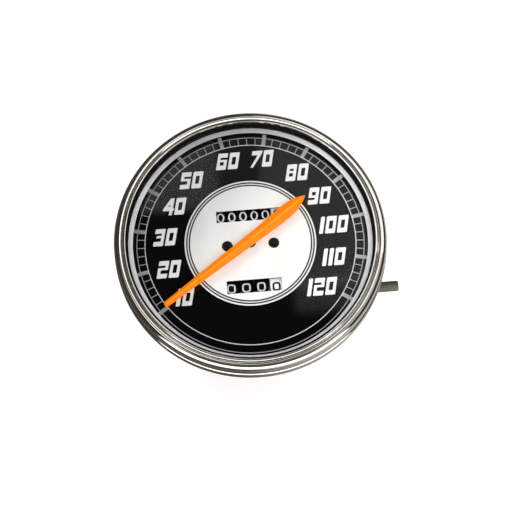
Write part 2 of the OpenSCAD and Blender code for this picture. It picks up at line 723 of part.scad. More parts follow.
// One numeral in its own cell. Its strokes are a full block with slits and holes cut out.
module numeral(d) {
    w = digit_w;
    s = digit_stroke;
    bar = digit_bar;
    top = digit_h - bar;
    upper = top - digit_slit;
    lower = upper - digit_mid;
    difference() {
        if (d == 1) {
            plain_digit(one_w);
        } else if (d == 4) {
            polygon([for (p = [[0, bar], [0, bar + 1.1], [2.9, digit_h], [w - 0.1, digit_h],
                               [w - 0.1, bar + 1.1], [w + 0.5, bar + 1.1], [w + 0.5, bar],
                               [w - 0.1, bar], [w - 0.1, 0], [w - 1.55, 0], [w - 1.55, bar]]) lean(p)]);
        } else if (d == 7) {
            polygon([for (p = [[0, digit_h], [w + 0.25, digit_h], [w - 0.05, digit_h - 1.8],
                               [s, 0], [0.2, 0], [2.9, top], [0, top]]) lean(p)]);
        } else {
            plain_digit(w);
        }
        if (d == 0) box(s, bar, w - s, top);
        if (d == 2 || d == 3) box(-1, upper, w - s, top);
        if (d == 2) box(s, bar, w + 1, lower);
        if (d == 3 || d == 5) box(-1, bar, w - s, lower);
        if (d == 3) box(-1, lower - eps, 1, upper + eps);
        if (d == 4) polygon([lean([2, bar + 2]), lean([2.9, bar + 2]), lean([2.9, bar + 3.3])]);
        if (d == 5 || d == 6) box(s, upper, w + 1, top);
        if (d == 6 || d == 8) box(s, bar, w - s, lower);
        if (d == 8) box(s, upper, w - s, top);
        if (d == 9) {
            box(s, lower + 0.5, w - s, top);
            box(-1, bar, w - s - 0.3, bar + digit_slit);
        }
    }
}

function digit_width(d) = d == 1 ? one_w : digit_w;
function digits_of(n) = n > 99 ? [1, floor(n / 10) % 10, n % 10] : [floor(n / 10), n % 10];
// Width of the first k digits of a number, with the spaces after them
function run_width(ds, k) = k == 0 ? 0 : run_width(ds, k - 1) + digit_width(ds[k - 1]) + digit_gap;

module dial_numerals() {
    color("white") for (i = [0:major_count - 1]) {
        ds = digits_of((i + 1) * 10);
        total = run_width(ds, len(ds)) - digit_gap;
        middle = lean([total, digit_h]) / 2;
        for (k = [0:len(ds) - 1])
            translate([numeral_place[i][0] * scale_r - middle[0] + run_width(ds, k),
                       numeral_place[i][1] * scale_r - middle[1], dial_z])
                linear_extrude(print_t) numeral(ds[k]);
    }
}

module dial_screws() {
    color("black") for (s = [-1, 1]) translate([s * screw_x, screw_y, 0]) {
        translate([0, 0, bridge_z]) cylinder(r = screw_r, h = dial_z - bridge_z);
        difference() {
            translate([0, 0, dial_z]) cylinder(r = screw_head_r, h = 0.8);
            translate([-screw_head_r - 1, -0.25, dial_z + 0.5]) cube([2 * screw_head_r + 2, 0.5, 1]);
        }
    }
}

// Glass and bezel

module light_ring() {
    color("lavender") translate([0, 0, dial_z]) rotate_extrude() polygon([
        [ring_foot_r, 0], [seat_r, 0], [seat_r, ring_rise], [gasket_in_r, ring_rise],
        [ring_r, ring_rise - 0.3], [ring_r, ring_rise - 0.3 - ring_t],
        [ring_foot_r, ring_rise - 0.3 - ring_t]]);
}

module lens_gasket() {
    color([0.08, 0.08, 0.08]) difference() {
        ring(gasket_in_r, gasket_out_r, dial_z + ring_rise, lip_under - ring_rise);
        translate([0, 0, dial_z + glass_rise - run_gap])
            cylinder(r = glass_r + run_gap, h = glass_t + 2 * run_gap);
    }
}

module lens() {
    color("azure", 0.3) translate([0, 0, dial_z + glass_rise]) cylinder(r = glass_r, h = glass_t);
}

module bezel() {
    bead_x = lip_r + lip_bead_r;
    roll_x = bezel_r - roll_r;
    color("gainsboro") translate([0, 0, dial_z]) rotate_extrude() difference() {
        union() {
            translate([bead_x, lip_rise]) circle(r = lip_bead_r, $fn = 32);
            translate([step_x, lip_under]) circle(r = step_bead_r, $fn = 32);
            translate([bead_x, lip_under]) square([step_x - bead_x, lip_rise - lip_under - 0.2]);
            translate([roll_x, roll_rise]) circle(r = roll_r);
            polygon([[step_x, lip_under], [step_x, lip_under - 1.4], [roll_x + 1, roll_rise],
                     [roll_x + 1, roll_rise + 1], [roll_x, roll_rise + roll_r]]);
            translate([hem_r, hem_z]) square([skirt_r - hem_r, roll_rise - hem_z]);
        }
        translate([hem_r - 5, hem_z + hem_t]) square([skirt_in_r - hem_r + 5, roll_rise - hem_z - hem_t]);
        translate([roll_x, roll_rise]) circle(r = roll_r - skirt_wall);
        translate([bead_x - 5, 0]) square([gasket_out_r + run_gap - bead_x + 5, lip_under]);
        translate([gasket_out_r, 0]) square([roll_x - gasket_out_r, roll_rise + roll_r - skirt_wall]);
    }
}

module reset_bush() {
    color("goldenrod") difference() {
        union() {
            along_x(bush_x0, stem_y, stem_z) cylinder(r = bush_r, h = boss_x + 1 - bush_x0);
            along_x(boss_x, stem_y, stem_z) cylinder(r = bush_r + 1.2, h = 1);
        }
        along_x(bush_x0 - 1, stem_y, stem_z) cylinder(r = journal_r + run_gap, h = 20);
    }
}

// Pointer and speed cup

// Half of the pointer's width at a distance from the pivot, which is below 0 on the tail
function half_width(x) =
    x >= 0 ? (waist_w + (tip_w - waist_w) * x / pointer_l) / 2
    : x > -tail_belly ? (waist_w + (pointer_w - waist_w) * (1 - cos(180 * x / tail_belly)) / 2) / 2
    : pointer_w / 2 * (1 - 0.95 * pow((-x - tail_belly) / (tail_l - tail_belly), 2.6));

module pointer() {
    xs = concat([for (i = [0:12]) -tail_l + tail_l * i / 12],
                [for (i = [1:3]) (pointer_l - tip_w / 2) * i / 3],
                [pointer_l - tip_w / 4, pointer_l]);
    n = len(xs);
    tops = [for (x = xs) x > pointer_l - tip_w / 2 + eps || x < eps - tail_l
        ? pointer_edge_t + 0.2 : pointer_ridge_t];
    halves = [for (x = xs) x > pointer_l - eps ? tip_w / 4
        : x > pointer_l - tip_w / 2 + eps ? tip_w * 0.43 : half_width(x)];
    mids = [for (x = xs) x > 0 ? 0 : -tail_bow * pow(x / tail_l, 2)];
    points = [for (i = [0:n - 1]) each [
        [xs[i], mids[i] - halves[i], 0], [xs[i], mids[i] + halves[i], 0],
        [xs[i], mids[i] + halves[i], pointer_edge_t], [xs[i], mids[i], tops[i]],
        [xs[i], mids[i] - halves[i], pointer_edge_t]]];
    faces = concat([[0, 1, 2, 3, 4]],
        [for (i = [0:n - 2], k = [0:4]) let (a = 5 * i, b = (k + 1) % 5)
            each [[a + k, a + 5 + k, a + 5 + b], [a + k, a + 5 + b, a + b]]],
        [[for (k = [4:-1:0]) 5 * (n - 1) + k]]);
    color("orange") translate([0, 0, dial_z + pointer_rise]) difference() {
        rotate(rest_angle) polyhedron(points, faces);
        translate([0, 0, -1]) cylinder(r = spindle_r + fix_gap, h = 1 + spindle_in);
    }
}

module pointer_hub() {
    color("black") ring(spindle_r + fix_gap, hub_r, dial_z + centre_t + 0.4, pointer_rise - centre_t - 0.4);
}

module pointer_spindle() {
    color("silver") {
        translate([0, 0, pivot_z + 0.2])
            cylinder(r = spindle_r, h = dial_z + pointer_rise + spindle_in - 0.1 - pivot_z - 0.2);
        ring(spindle_r - eps, collet_r, cup_z1, spring_z + spring_h - cup_z1);
    }
}

module speed_cup() {
    color("lightgray") translate([0, 0, cup_z0]) difference() {
        cylinder(r = cup_r, h = cup_z1 - cup_z0);
        translate([0, 0, -1]) cylinder(r = cup_r - cup_wall, h = cup_z1 - cup_z0 - cup_wall + 1);
        cylinder(r = spindle_r + fix_gap, h = cup_z1);
    }
}

module drive_shaft() {
    color("silver") difference() {
        union() {
            translate([0, 0, drive_end_z]) cylinder(r = socket_end_r, h = base_z + 1.1 - drive_end_z);
            translate([0, 0, base_z + 1.1]) cylinder(r = socket_end_r + 0.8, h = 1);
            translate([0, 0, base_z + 2.1]) cylinder(r = shaft_r, h = drive_top - base_z - 2.1);
        }
        translate([-socket_w / 2, -socket_w / 2, drive_end_z - 1]) cube([socket_w, socket_w, 7]);
        translate([0, 0, pivot_z]) cylinder(r = spindle_r + run_gap, h = drive_top);
    }
}

module drive_worm() {
    color("goldenrod") translate([0, 0, counter_z]) worm();
}

module magnet_rotor() {
    color("darkslategray") {
        ring(shaft_r + fix_gap, magnet_r, magnet_z, magnet_h);
        ring(shaft_r + fix_gap, 3, magnet_z - 2, 2);
    }
}

// Gear train

module counter_shaft() {
    color("silver") along_y(counter_x, bracket_y, counter_z, lug_y + post_t - bracket_y)
        cylinder(r = shaft_r, h = lug_y + post_t - bracket_y);
}

module counter_gears() {
    color("goldenrod") difference() {
        union() {
            along_y(counter_x, -gear_t / 2, counter_z, gear_t)
                worm_wheel(counter_wheel_r, counter_teeth, gear_t, 180);
            along_y(counter_x, gears_y - gear_t / 2, counter_z, gear_t)
                spur(small_teeth, gear_mod, gear_t, small_phase);
            along_y(counter_x, gears_y, counter_z, -gears_y) cylinder(r = shaft_r + 0.9, h = -gears_y);
        }
        along_y(counter_x, gears_y - 5, counter_z, 12) cylinder(r = shaft_r + fix_gap, h = 12);
    }
}

module idler_gear() {
    color("goldenrod") difference() {
        along_y(idler_x, gears_y - gear_t / 2, idler_z, gear_t)
            spur(idler_teeth, gear_mod, gear_t, idler_phase);
        along_y(idler_x, gears_y - 5, idler_z, 12) cylinder(r = shaft_r + run_gap, h = 12);
    }
}

module cross_shaft() {
    color("silver") along_y(cross_x, trip_post_y, cross_z, odo_post_y + post_t - trip_post_y)
        cylinder(r = shaft_r, h = odo_post_y + post_t - trip_post_y);
}

module cross_gears() {
    color("goldenrod") {
        difference() {
            along_y(cross_x, gears_y - gear_t / 2, cross_z, gear_t)
                spur(large_teeth, gear_mod, gear_t, large_phase);
            along_y(cross_x, gears_y - 5, cross_z, 12) cylinder(r = shaft_r + fix_gap, h = 12);
        }
        for (y = [odo_y, -trip_y]) along_y(cross_x, y, cross_z, 0) rotate(90) worm();
    }
}

// Number wheels. Wheel 1 is the fastest, on the right; each lower one carries a gear on its
// right side, which a pinion between the two wheels turns.

module number_wheel(x, y, rim_w, bore_r, gear_a) {
    difference() {
        union() {
            difference() {
                along_x(x - rim_w / 2, y, axle_z) cylinder(r = wheel_r, h = rim_w);
                for (s = [-1, 1]) along_x(x + s * rim_w / 2 - 0.8, y, axle_z) difference() {
                    cylinder(r = wheel_r - 1, h = 1.6);
                    translate([0, 0, -1]) cylinder(r = bore_r + 1.5, h = 4);
                }
            }
            if (gear_a != undef) along_x(x + rim_w / 2 - 1, y, axle_z)
                spur(wheel_teeth, wheel_mod, 1 + side_gear_t, gear_a);
        }
        along_x(x - rim_w, y, axle_z) cylinder(r = bore_r, h = 3 * rim_w);
    }
}
// The wheel that a worm turns, on the cross shaft's line
module worm_driven(y, bore_r) {
    difference() {
        along_x(cross_x - gear_t / 2, y, axle_z)
            worm_wheel(count_wheel_r, count_wheel_teeth, gear_t, -90);
        along_x(cross_x - 5, y, axle_z) cylinder(r = bore_r, h = 10);
    }
}

module odometer_wheel(i) {
    x = odo_last_x - (i - 1) * odo_pitch;
    color(i == 1 ? "white" : "black")
        number_wheel(x, odo_y, odo_rim_w, axle_r + run_gap, i == 1 ? undef : -pinion_drop);
    if (i == 1) color("white") {
        worm_driven(odo_y, axle_r + run_gap);
        difference() {
            along_x(x, odo_y, axle_z) cylinder(r = axle_r + 1.2, h = cross_x - x);
            along_x(x - 1, odo_y, axle_z) cylinder(r = axle_r + run_gap, h = cross_x - x + 2);
        }
    }
}

module trip_wheel(i) {
    color(i == 1 ? "white" : "black")
        number_wheel(trip_last_x - (i - 1) * trip_pitch, -trip_y, trip_rim_w, axle_r + run_gap,
                     i == 1 ? undef : 180 + pinion_drop);
}

module transfer_pinion(x, y, bore_r, phase) {
    color("tan") difference() {
        along_x(x, y, pinion_z) spur(pinion_teeth, wheel_mod, pinion_t, phase);
        along_x(x - 1, y, pinion_z) cylinder(r = bore_r, h = pinion_t + 2);
    }
}
module odometer_pinion(i) {
    transfer_pinion(odo_last_x - i * odo_pitch + odo_rim_w / 2 + pinion_side, odo_pinion_y,
                    pinion_axle_r + run_gap, 180 - pinion_drop + 180 / pinion_teeth);
}
module trip_pinion(i) {
    transfer_pinion(trip_last_x - i * trip_pitch + trip_rim_w / 2 + pinion_side, trip_pinion_y,
                    pinion_axle_r + run_gap, pinion_drop + 180 / pinion_teeth);
}

module trip_axle() {
    color("silver") {
        along_x(trip_ear_x0, -trip_y, axle_z) cylinder(r = axle_r, h = trip_ear_x1 + ear_t - trip_ear_x0);
        along_x(trip_gear_x, -trip_y, axle_z)
            spur(reset_teeth, gear_mod, gear_t, reset_a + 180 + 180 / reset_teeth);
    }
}

module trip_drive_wheel() {
    color("goldenrod") worm_driven(-trip_y, axle_r + run_gap);
}

module trip_pinion_axle() {
    color("silver") along_x(trip_ear_x0, trip_pinion_y, pinion_z)
        cylinder(r = pinion_axle_r, h = trip_ear_x1 + ear_t - trip_ear_x0);
}

module reset_stem() {
    color("olivedrab") {
        along_x(trip_gear_x, stem_y, stem_z) spur(reset_teeth, gear_mod, gear_t, reset_a);
        along_x(trip_gear_x, stem_y, stem_z) cylinder(r = journal_r, h = shoulder_x - trip_gear_x);
        along_x(shoulder_x, stem_y, stem_z) cylinder(r = stem_r, h = stem_end_x - shoulder_x - 0.4);
        along_x(stem_end_x - 0.4, stem_y, stem_z) cylinder(r1 = stem_r, r2 = stem_r - 0.4, h = 0.4);
    }
}

casing();
mounting_studs();
cable_spigot();
shaft_bush();
base_plate();
bridge_pillars();
top_bridge();
gear_bracket();
odometer_frame();
trip_frame();
idler_stub();
odometer_axle();
odometer_pinion_axle();
hairspring();
hairspring_stud();
dial_gasket();
dial_plate();
centre_plate();
dial_scale();
dial_numerals();
dial_screws();
light_ring();
lens_gasket();
lens();
bezel();
reset_bush();
pointer();
pointer_hub();
pointer_spindle();
speed_cup();
drive_shaft();
drive_worm();
magnet_rotor();
counter_shaft();
counter_gears();
idler_gear();
cross_shaft();
cross_gears();
odometer_wheel(1);  // odometer_wheel_1
odometer_wheel(2);  // odometer_wheel_2
odometer_wheel(3);  // odometer_wheel_3
odometer_wheel(4);  // odometer_wheel_4
odometer_wheel(5);  // odometer_wheel_5
odometer_wheel(6);  // odometer_wheel_6
odometer_pinion(1);  // odometer_pinion_1
odometer_pinion(2);  // odometer_pinion_2
odometer_pinion(3);  // odometer_pinion_3
odometer_pinion(4);  // odometer_pinion_4
odometer_pinion(5);  // odometer_pinion_5
trip_axle();
trip_drive_wheel();
trip_wheel(1);  // trip_wheel_1
trip_wheel(2);  // trip_wheel_2
trip_wheel(3);  // trip_wheel_3
trip_wheel(4);  // trip_wheel_4
trip_pinion_axle();
trip_pinion(1);  // trip_pinion_1
trip_pinion(2);  // trip_pinion_2
trip_pinion(3);  // trip_pinion_3
reset_stem();
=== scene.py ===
import math

import bmesh
import bpy
from mathutils import Euler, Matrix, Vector
from mathutils.geometry import tessellate_polygon


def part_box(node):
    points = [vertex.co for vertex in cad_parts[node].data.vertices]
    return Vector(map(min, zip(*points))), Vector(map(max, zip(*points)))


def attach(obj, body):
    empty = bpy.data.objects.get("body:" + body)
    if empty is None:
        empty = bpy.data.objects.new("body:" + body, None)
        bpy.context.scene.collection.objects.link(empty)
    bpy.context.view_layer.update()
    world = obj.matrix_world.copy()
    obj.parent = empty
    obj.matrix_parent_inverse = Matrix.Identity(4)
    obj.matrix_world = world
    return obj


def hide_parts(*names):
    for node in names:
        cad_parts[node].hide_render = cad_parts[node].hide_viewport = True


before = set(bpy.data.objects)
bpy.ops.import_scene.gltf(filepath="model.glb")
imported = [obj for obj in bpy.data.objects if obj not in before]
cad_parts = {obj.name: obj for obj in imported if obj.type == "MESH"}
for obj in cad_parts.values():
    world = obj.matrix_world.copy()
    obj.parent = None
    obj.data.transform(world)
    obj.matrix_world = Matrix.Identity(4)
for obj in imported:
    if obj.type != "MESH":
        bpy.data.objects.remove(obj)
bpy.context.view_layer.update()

scene = bpy.context.scene
MM = 0.001

# Camera, solved from the circles of the dial

camera_data = bpy.data.cameras.new("camera")
camera_data.lens = 89.8
camera_data.sensor_width = 36
camera_data.clip_start = 0.01
camera_data.clip_end = 20
camera = bpy.data.objects.new("camera", camera_data)
camera.location = Vector((-6.35, -195.24, 620.28)) * MM
camera.rotation_euler = Euler([math.radians(a) for a in (18.43581802, 0.62501073, -4.4356791)])
scene.collection.objects.link(camera)
scene.camera = camera

# Sizes of the part, in millimetres

DIAL = 55.0                   # top of the black dial
CASING_R = 51.5
CASING_H = 53.2
WALL = 1.0
FLANGE_R = 62.2
CENTRE_TOP = 0.3              # top of the silver plate, over the dial
LINE_R1, LINE_R2 = 28.4, 29.6  # inner radii of the two black lines
LINE_W = 0.4
BLEED = 0.14                  # how far their ink runs out on either side
AXLE_Z = 43.0
ODOMETER_COUNT, ODOMETER_X, ODOMETER_Y, ODOMETER_PITCH = 6, 13.4, 13.8, 5.3
TRIP_COUNT, TRIP_X, TRIP_Y, TRIP_PITCH = 4, 10.5, -21.2, 7
STEM_Y = -20.7
STEM_Z = 35.0156
BOSS_X = 49.857               # outer end of the stem's boss on the casing
FULL = 360

# Meshes


def arc(cx, cy, r, a0, a1, n):
    """Points on an arc, from angle a0 to a1 in degrees."""
    angles = [math.radians(a0 + (a1 - a0) * i / n) for i in range(n + 1)]
    return [(cx + r * math.cos(a), cy + r * math.sin(a)) for a in angles]


def circle(cx, cy, r, n):
    return arc(cx, cy, r, 0, FULL, n)[:-1]


def reverse(points):
    return list(reversed(points))


def finish_mesh(name, verts, faces, material, body, sharp, shift=(0, 0, 0), weld=True):
    """Makes an object of millimetre points, with outward normals, that rides on a body."""
    move = Vector(shift)
    mesh = bpy.data.meshes.new(name)
    mesh.from_pydata([(Vector(v) + move) * MM for v in verts], [], faces)
    bm = bmesh.new()
    bm.from_mesh(mesh)
    if weld:
        bmesh.ops.remove_doubles(bm, verts=bm.verts, dist=1e-7)
    bmesh.ops.recalc_face_normals(bm, faces=bm.faces)
    bm.to_mesh(mesh)
    bm.free()
    for polygon in mesh.polygons:
        polygon.use_smooth = True
    mesh.set_sharp_from_angle(angle=math.radians(sharp))
    obj = bpy.data.objects.new(name, mesh)
    scene.collection.objects.link(obj)
    mesh.materials.append(material)
    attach(obj, body)
    return obj


def lathe_points(profile, n):
    """A closed profile of (r, z) points turned about Z."""
    verts, faces = [], []
    count = len(profile)
    for i in range(n):
        a = 2 * math.pi * i / n
        c, s = math.cos(a), math.sin(a)
        verts += [(r * c, r * s, z) for r, z in profile]
    for i in range(n):
        j = (i + 1) % n
        for k in range(count):
            m = (k + 1) % count
            if profile[k][0] < 1e-9 and profile[m][0] < 1e-9:
                continue
            faces.append((i * count + k, j * count + k, j * count + m, i * count + m))
    return verts, faces


def turned(name, profile, material, body, n, sharp, shift=(0, 0, 0), along="Z"):
    """Makes a turned object whose axis lies along Z or X."""
    verts, faces = lathe_points(profile, n)
    if along == "X":
        verts = [(z, y, -x) for x, y, z in verts]
    return finish_mesh(name, verts, faces, material, body, sharp, shift)


def add_mesh(verts, faces, more_verts, more_faces):
    """Adds the points and faces of one more piece to both lists."""
    base = len(verts)
    faces += [tuple(base + i for i in f) for f in more_faces]
    verts += more_verts


def plate_points(outlines, z0, z1, verts, faces):
    """Adds a flat plate between two heights. The first outline is its edge, the others are holes."""
    flat = [p for outline in outlines for p in outline]
    base = len(verts)
    count = len(flat)
    verts += [(x, y, z0) for x, y in flat] + [(x, y, z1) for x, y in flat]
    for tri in tessellate_polygon([[Vector((x, y, 0)) for x, y in o] for o in outlines]):
        faces.append(tuple(base + i for i in tri))
        faces.append(tuple(base + count + i for i in reversed(tri)))
    start = base
    for outline in outlines:
        n = len(outline)
        for i in range(n):
            j = (i + 1) % n
            faces.append((start + i, start + j, start + j + count, start + i + count))
        start += n


def thread_points(r_out, depth, pitch, z0, z1, n, cuts=8):
    """A screw thread's sides, with a triangular profile; threaded() closes its ends."""
    rows = int(round((z1 - z0) / pitch * cuts))
    verts, faces = [], []
    for k in range(rows + 1):
        z = z0 + (z1 - z0) * k / rows
        near = min(z - z0, z1 - z) / pitch
        full = min(1.0, near * 1.2)
        for i in range(n):
            turn = (z / pitch - i / n) % 1.0
            ridge = 1 - abs(2 * turn - 1)
            r = r_out - depth * (1 - min(1.0, ridge * 1.25) * full)
            a = 2 * math.pi * i / n
            verts.append((r * math.cos(a), r * math.sin(a), z))
    for k in range(rows):
        for i in range(n):
            j = (i + 1) % n
            faces.append((k * n + i, k * n + j, (k + 1) * n + j, (k + 1) * n + i))
    return verts, faces, rows


def rounded(points, radius, n):
    """A closed outline of (x, y) points with its corners rounded."""
    out = []
    count = len(points)
    for i in range(count):
        a, b, c = (Vector(points[j % count]) for j in (i - 1, i, i + 1))
        before, after = a - b, c - b
        reach = min(radius, before.length * 0.45, after.length * 0.45)
        p, q = b + before.normalized() * reach, b + after.normalized() * reach
        for k in range(n + 1):
            t = k / n
            out.append(tuple(p * (1 - t) ** 2 + b * 2 * t * (1 - t) + q * t * t))
    return out


# Materials


class Surface:
    """A material whose node tree is built step by step in object coordinates."""

    def __init__(self, name, color, rough, metallic=0.0):
        self.material = bpy.data.materials.new(name)
        self.material.use_nodes = True
        self.tree = self.material.node_tree
        self.bsdf = self.tree.nodes["Principled BSDF"]
        self.place = self.node("ShaderNodeTexCoord").outputs["Object"]
        self.bsdf.inputs["Base Color"].default_value = (*color, 1)
        self.bsdf.inputs["Roughness"].default_value = rough
        self.bsdf.inputs["Metallic"].default_value = metallic
        self.color = color
        self.rough = rough

    def node(self, kind, **settings):
        made = self.tree.nodes.new(kind)
        for key, value in settings.items():
            setattr(made, key, value)
        return made

    def link(self, output, target):
        self.tree.links.new(output, target)

    def noise(self, scale, detail, roughness=0.55, stretch=None):
        made = self.node("ShaderNodeTexNoise")
        made.inputs["Scale"].default_value = scale
        made.inputs["Detail"].default_value = detail
        made.inputs["Roughness"].default_value = roughness
        source = self.place
        if stretch:
            mapping = self.node("ShaderNodeMapping")
            mapping.inputs["Scale"].default_value = stretch
            self.link(source, mapping.inputs["Vector"])
            source = mapping.outputs["Vector"]
        self.link(source, made.inputs["Vector"])
        return made.outputs["Fac"]

    def ramp(self, value, low, high, lo_pos=0.3, hi_pos=0.7):
        made = self.node("ShaderNodeValToRGB")
        made.color_ramp.elements[0].position = lo_pos
        made.color_ramp.elements[0].color = (*low, 1)
        made.color_ramp.elements[1].position = hi_pos
        made.color_ramp.elements[1].color = (*high, 1)
        self.link(value, made.inputs["Fac"])
        return made.outputs["Color"]

    def span(self, value, low, high, lo_in=0.3, hi_in=0.7):
        made = self.node("ShaderNodeMapRange")
        made.inputs["From Min"].default_value = lo_in
        made.inputs["From Max"].default_value = hi_in
        made.inputs["To Min"].default_value = low
        made.inputs["To Max"].default_value = high
        self.link(value, made.inputs["Value"])
        return made.outputs["Result"]

    def vary_color(self, value, amount):
        low = tuple(c * (1 - amount) for c in self.color)
        high = tuple(min(1.0, c * (1 + amount)) for c in self.color)
        self.link(self.ramp(value, low, high), self.bsdf.inputs["Base Color"])

    def vary_rough(self, value, amount):
        result = self.span(value, self.rough * (1 - amount), min(1.0, self.rough * (1 + amount)))
        self.link(result, self.bsdf.inputs["Roughness"])

    def axes(self):
        """The object coordinates, one by one."""
        split = self.node("ShaderNodeSeparateXYZ")
        self.link(self.place, split.inputs["Vector"])
        return split.outputs

    def radius(self):
        """The distance from the object's Z axis."""
        axes = self.axes()
        flat = self.node("ShaderNodeCombineXYZ")
        self.link(axes["X"], flat.inputs["X"])
        self.link(axes["Y"], flat.inputs["Y"])
        length = self.node("ShaderNodeVectorMath", operation="LENGTH")
        self.link(flat.outputs["Vector"], length.inputs[0])
        return length.outputs["Value"]

    def mix(self, factor, first, second):
        """A mix of two shaders."""
        made = self.node("ShaderNodeMixShader")
        self.link(factor, made.inputs["Fac"])
        self.link(first, made.inputs[1])
        self.link(second, made.inputs[2])
        return made.outputs["Shader"]

    def fade(self, color, low, start, end, way=(1.0, -1.0, 0.0)):
        """Painted shade: dims a colour along a direction, from low at the start of a stretch to full at
        its end.
        """
        slope = self.node("ShaderNodeVectorMath", operation="DOT_PRODUCT")
        self.link(self.place, slope.inputs[0])
        slope.inputs[1].default_value = way
        tint = self.node("ShaderNodeVectorMath", operation="SCALE")
        self.link(color, tint.inputs[0])
        self.link(self.span(slope.outputs["Value"], low, 1.0, start * MM, end * MM), tint.inputs["Scale"])
        self.link(tint.outputs["Vector"], self.bsdf.inputs["Base Color"])

    def bump(self, value, height):
        made = self.node("ShaderNodeBump")
        made.inputs["Distance"].default_value = height * MM
        made.inputs["Strength"].default_value = 1.0
        self.link(value, made.inputs["Height"])
        self.link(made.outputs["Normal"], self.bsdf.inputs["Normal"])

    def set(self, **inputs):
        for key, value in inputs.items():
            self.bsdf.inputs[key.replace("_", " ")].default_value = value
        return self


def metal(name, color, rough, stretch=(1, 1, 1), scale=900, lines=0.3, dents=0.004):
    """Metal with fine machining lines and a slow change of its polish."""
    s = Surface(name, color, rough, 1.0)
    s.vary_color(s.noise(220, 3), 0.07)
    s.vary_rough(s.noise(scale, 5, 0.6, stretch), lines)
    s.bump(s.noise(scale * 1.5, 4, 0.6, stretch), dents)
    return s.material


def paint(name, color, rough, peel):
    """Paint with orange peel, a little dust and rub marks."""
    s = Surface(name, color, rough)
    s.vary_color(s.noise(120, 6, 0.6), 0.12)
    s.vary_rough(s.noise(380, 5, 0.6), 0.25)
    s.bump(s.noise(1400, 2), peel)
    return s.material


def plastic(name, color, rough, grain=0.006, sub=0.0, gloss=0.5, glow=0.0):
    s = Surface(name, color, rough)
    s.set(Emission_Color=(*color, 1), Emission_Strength=glow)
    s.vary_color(s.noise(260, 4), 0.05)
    s.vary_rough(s.noise(700, 4), 0.2)
    s.bump(s.noise(2600, 3), grain)
    return s.set(Subsurface_Weight=sub, Subsurface_Scale=0.001, Specular_IOR_Level=gloss).material


INK = (0.006, 0.006, 0.007)


def dial_black_material():
    """Smooth black enamel, seen through the glass."""
    s = Surface("dial_black", (0.002, 0.002, 0.0025), 0.04)
    s.vary_color(s.noise(90, 4), 0.2)
    s.vary_rough(s.noise(400, 4), 0.2)
    return s.set(Specular_IOR_Level=0.32).material


chrome = metal("chrome", (0.83, 0.82, 0.79), 0.045, scale=500, lines=0.5, dents=0.0003)
zinc = metal("zinc_plate", (0.60, 0.61, 0.63), 0.28, (1, 1, 0.15))
brass = metal("turned_brass", (0.73, 0.56, 0.29), 0.25, (1, 1, 6))
steel = metal("sheet_steel", (0.52, 0.52, 0.54), 0.32, (0.2, 1, 1))
bronze = metal("spring_bronze", (0.66, 0.43, 0.21), 0.25)
aluminium = metal("cup_aluminium", (0.76, 0.76, 0.77), 0.3, (1, 1, 5))
magnet = metal("magnet_steel", (0.30, 0.30, 0.32), 0.42)
olive_steel = metal("stem_steel", (0.31, 0.30, 0.255), 0.8, (5, 1, 1), scale=700, lines=0.2, dents=0.01)
casing_paint = paint("casing_paint", (0.035, 0.035, 0.038), 0.42, 0.015)
gloss_black = dial_black_material()
screw_black = plastic("screw_black", (0.002, 0.004, 0.0035), 0.3, grain=0.03, gloss=0.2)
hub_black = plastic("hub_black", (0.012, 0.012, 0.013), 0.4)
wheel_black = plastic("wheel_black", (0.002, 0.002, 0.003), 0.35, gloss=0.1)
# The white wheels glow a little: painted light that lifts them out of the shade in their windows.
wheel_white = plastic("wheel_white", (0.93, 0.93, 0.92), 0.45, glow=0.28)
nylon = plastic("pinion_nylon", (0.72, 0.70, 0.62), 0.4, sub=0.2)
wheel_ink = plastic("wheel_ink", (0.76, 0.75, 0.80), 0.5, grain=0.003)
wheel_ink_black = plastic("wheel_ink_black", (0.01, 0.01, 0.01), 0.5, grain=0.003)


def numeral_material():
    """White print of the numerals, with painted shade that darkens it towards the top left."""
    s = Surface("print_white", (0.8, 0.8, 0.8), 0.55)
    s.fade(s.ramp(s.noise(260, 4), (0.80, 0.80, 0.80), (0.86, 0.86, 0.86)), 0.66, -60, 35)
    s.bump(s.noise(2600, 3), 0.003)
    return s.set(Specular_IOR_Level=0.2).material


def ring_material():
    """White light ring, dimmer at the top, where the bezel shades it."""
    s = Surface("ring_white", (0.70, 0.685, 0.72), 0.42)
    tone = s.ramp(s.noise(260, 4), (0.67, 0.655, 0.69), (0.73, 0.715, 0.75))
    s.fade(tone, 0.5, -56, -36, (0.2, -1.0, 0.0))
    s.bump(s.noise(2600, 3), 0.004)
    return s.set(Specular_IOR_Level=0.3).material


def rubber_material():
    s = Surface("gasket_rubber", (0.004, 0.004, 0.004), 0.62)
    s.vary_color(s.noise(300, 5), 0.3)
    s.vary_rough(s.noise(900, 5), 0.2)
    s.bump(s.noise(1800, 5), 0.02)
    return s.set(Specular_IOR_Level=0.1).material


def cork_material():
    s = Surface("cork", (0.42, 0.28, 0.16), 0.9)
    s.link(s.ramp(s.noise(900, 6, 0.75), (0.12, 0.07, 0.04), (0.50, 0.34, 0.20), 0.35, 0.55),
           s.bsdf.inputs["Base Color"])
    s.bump(s.noise(1100, 6, 0.7), 0.15)
    return s.material


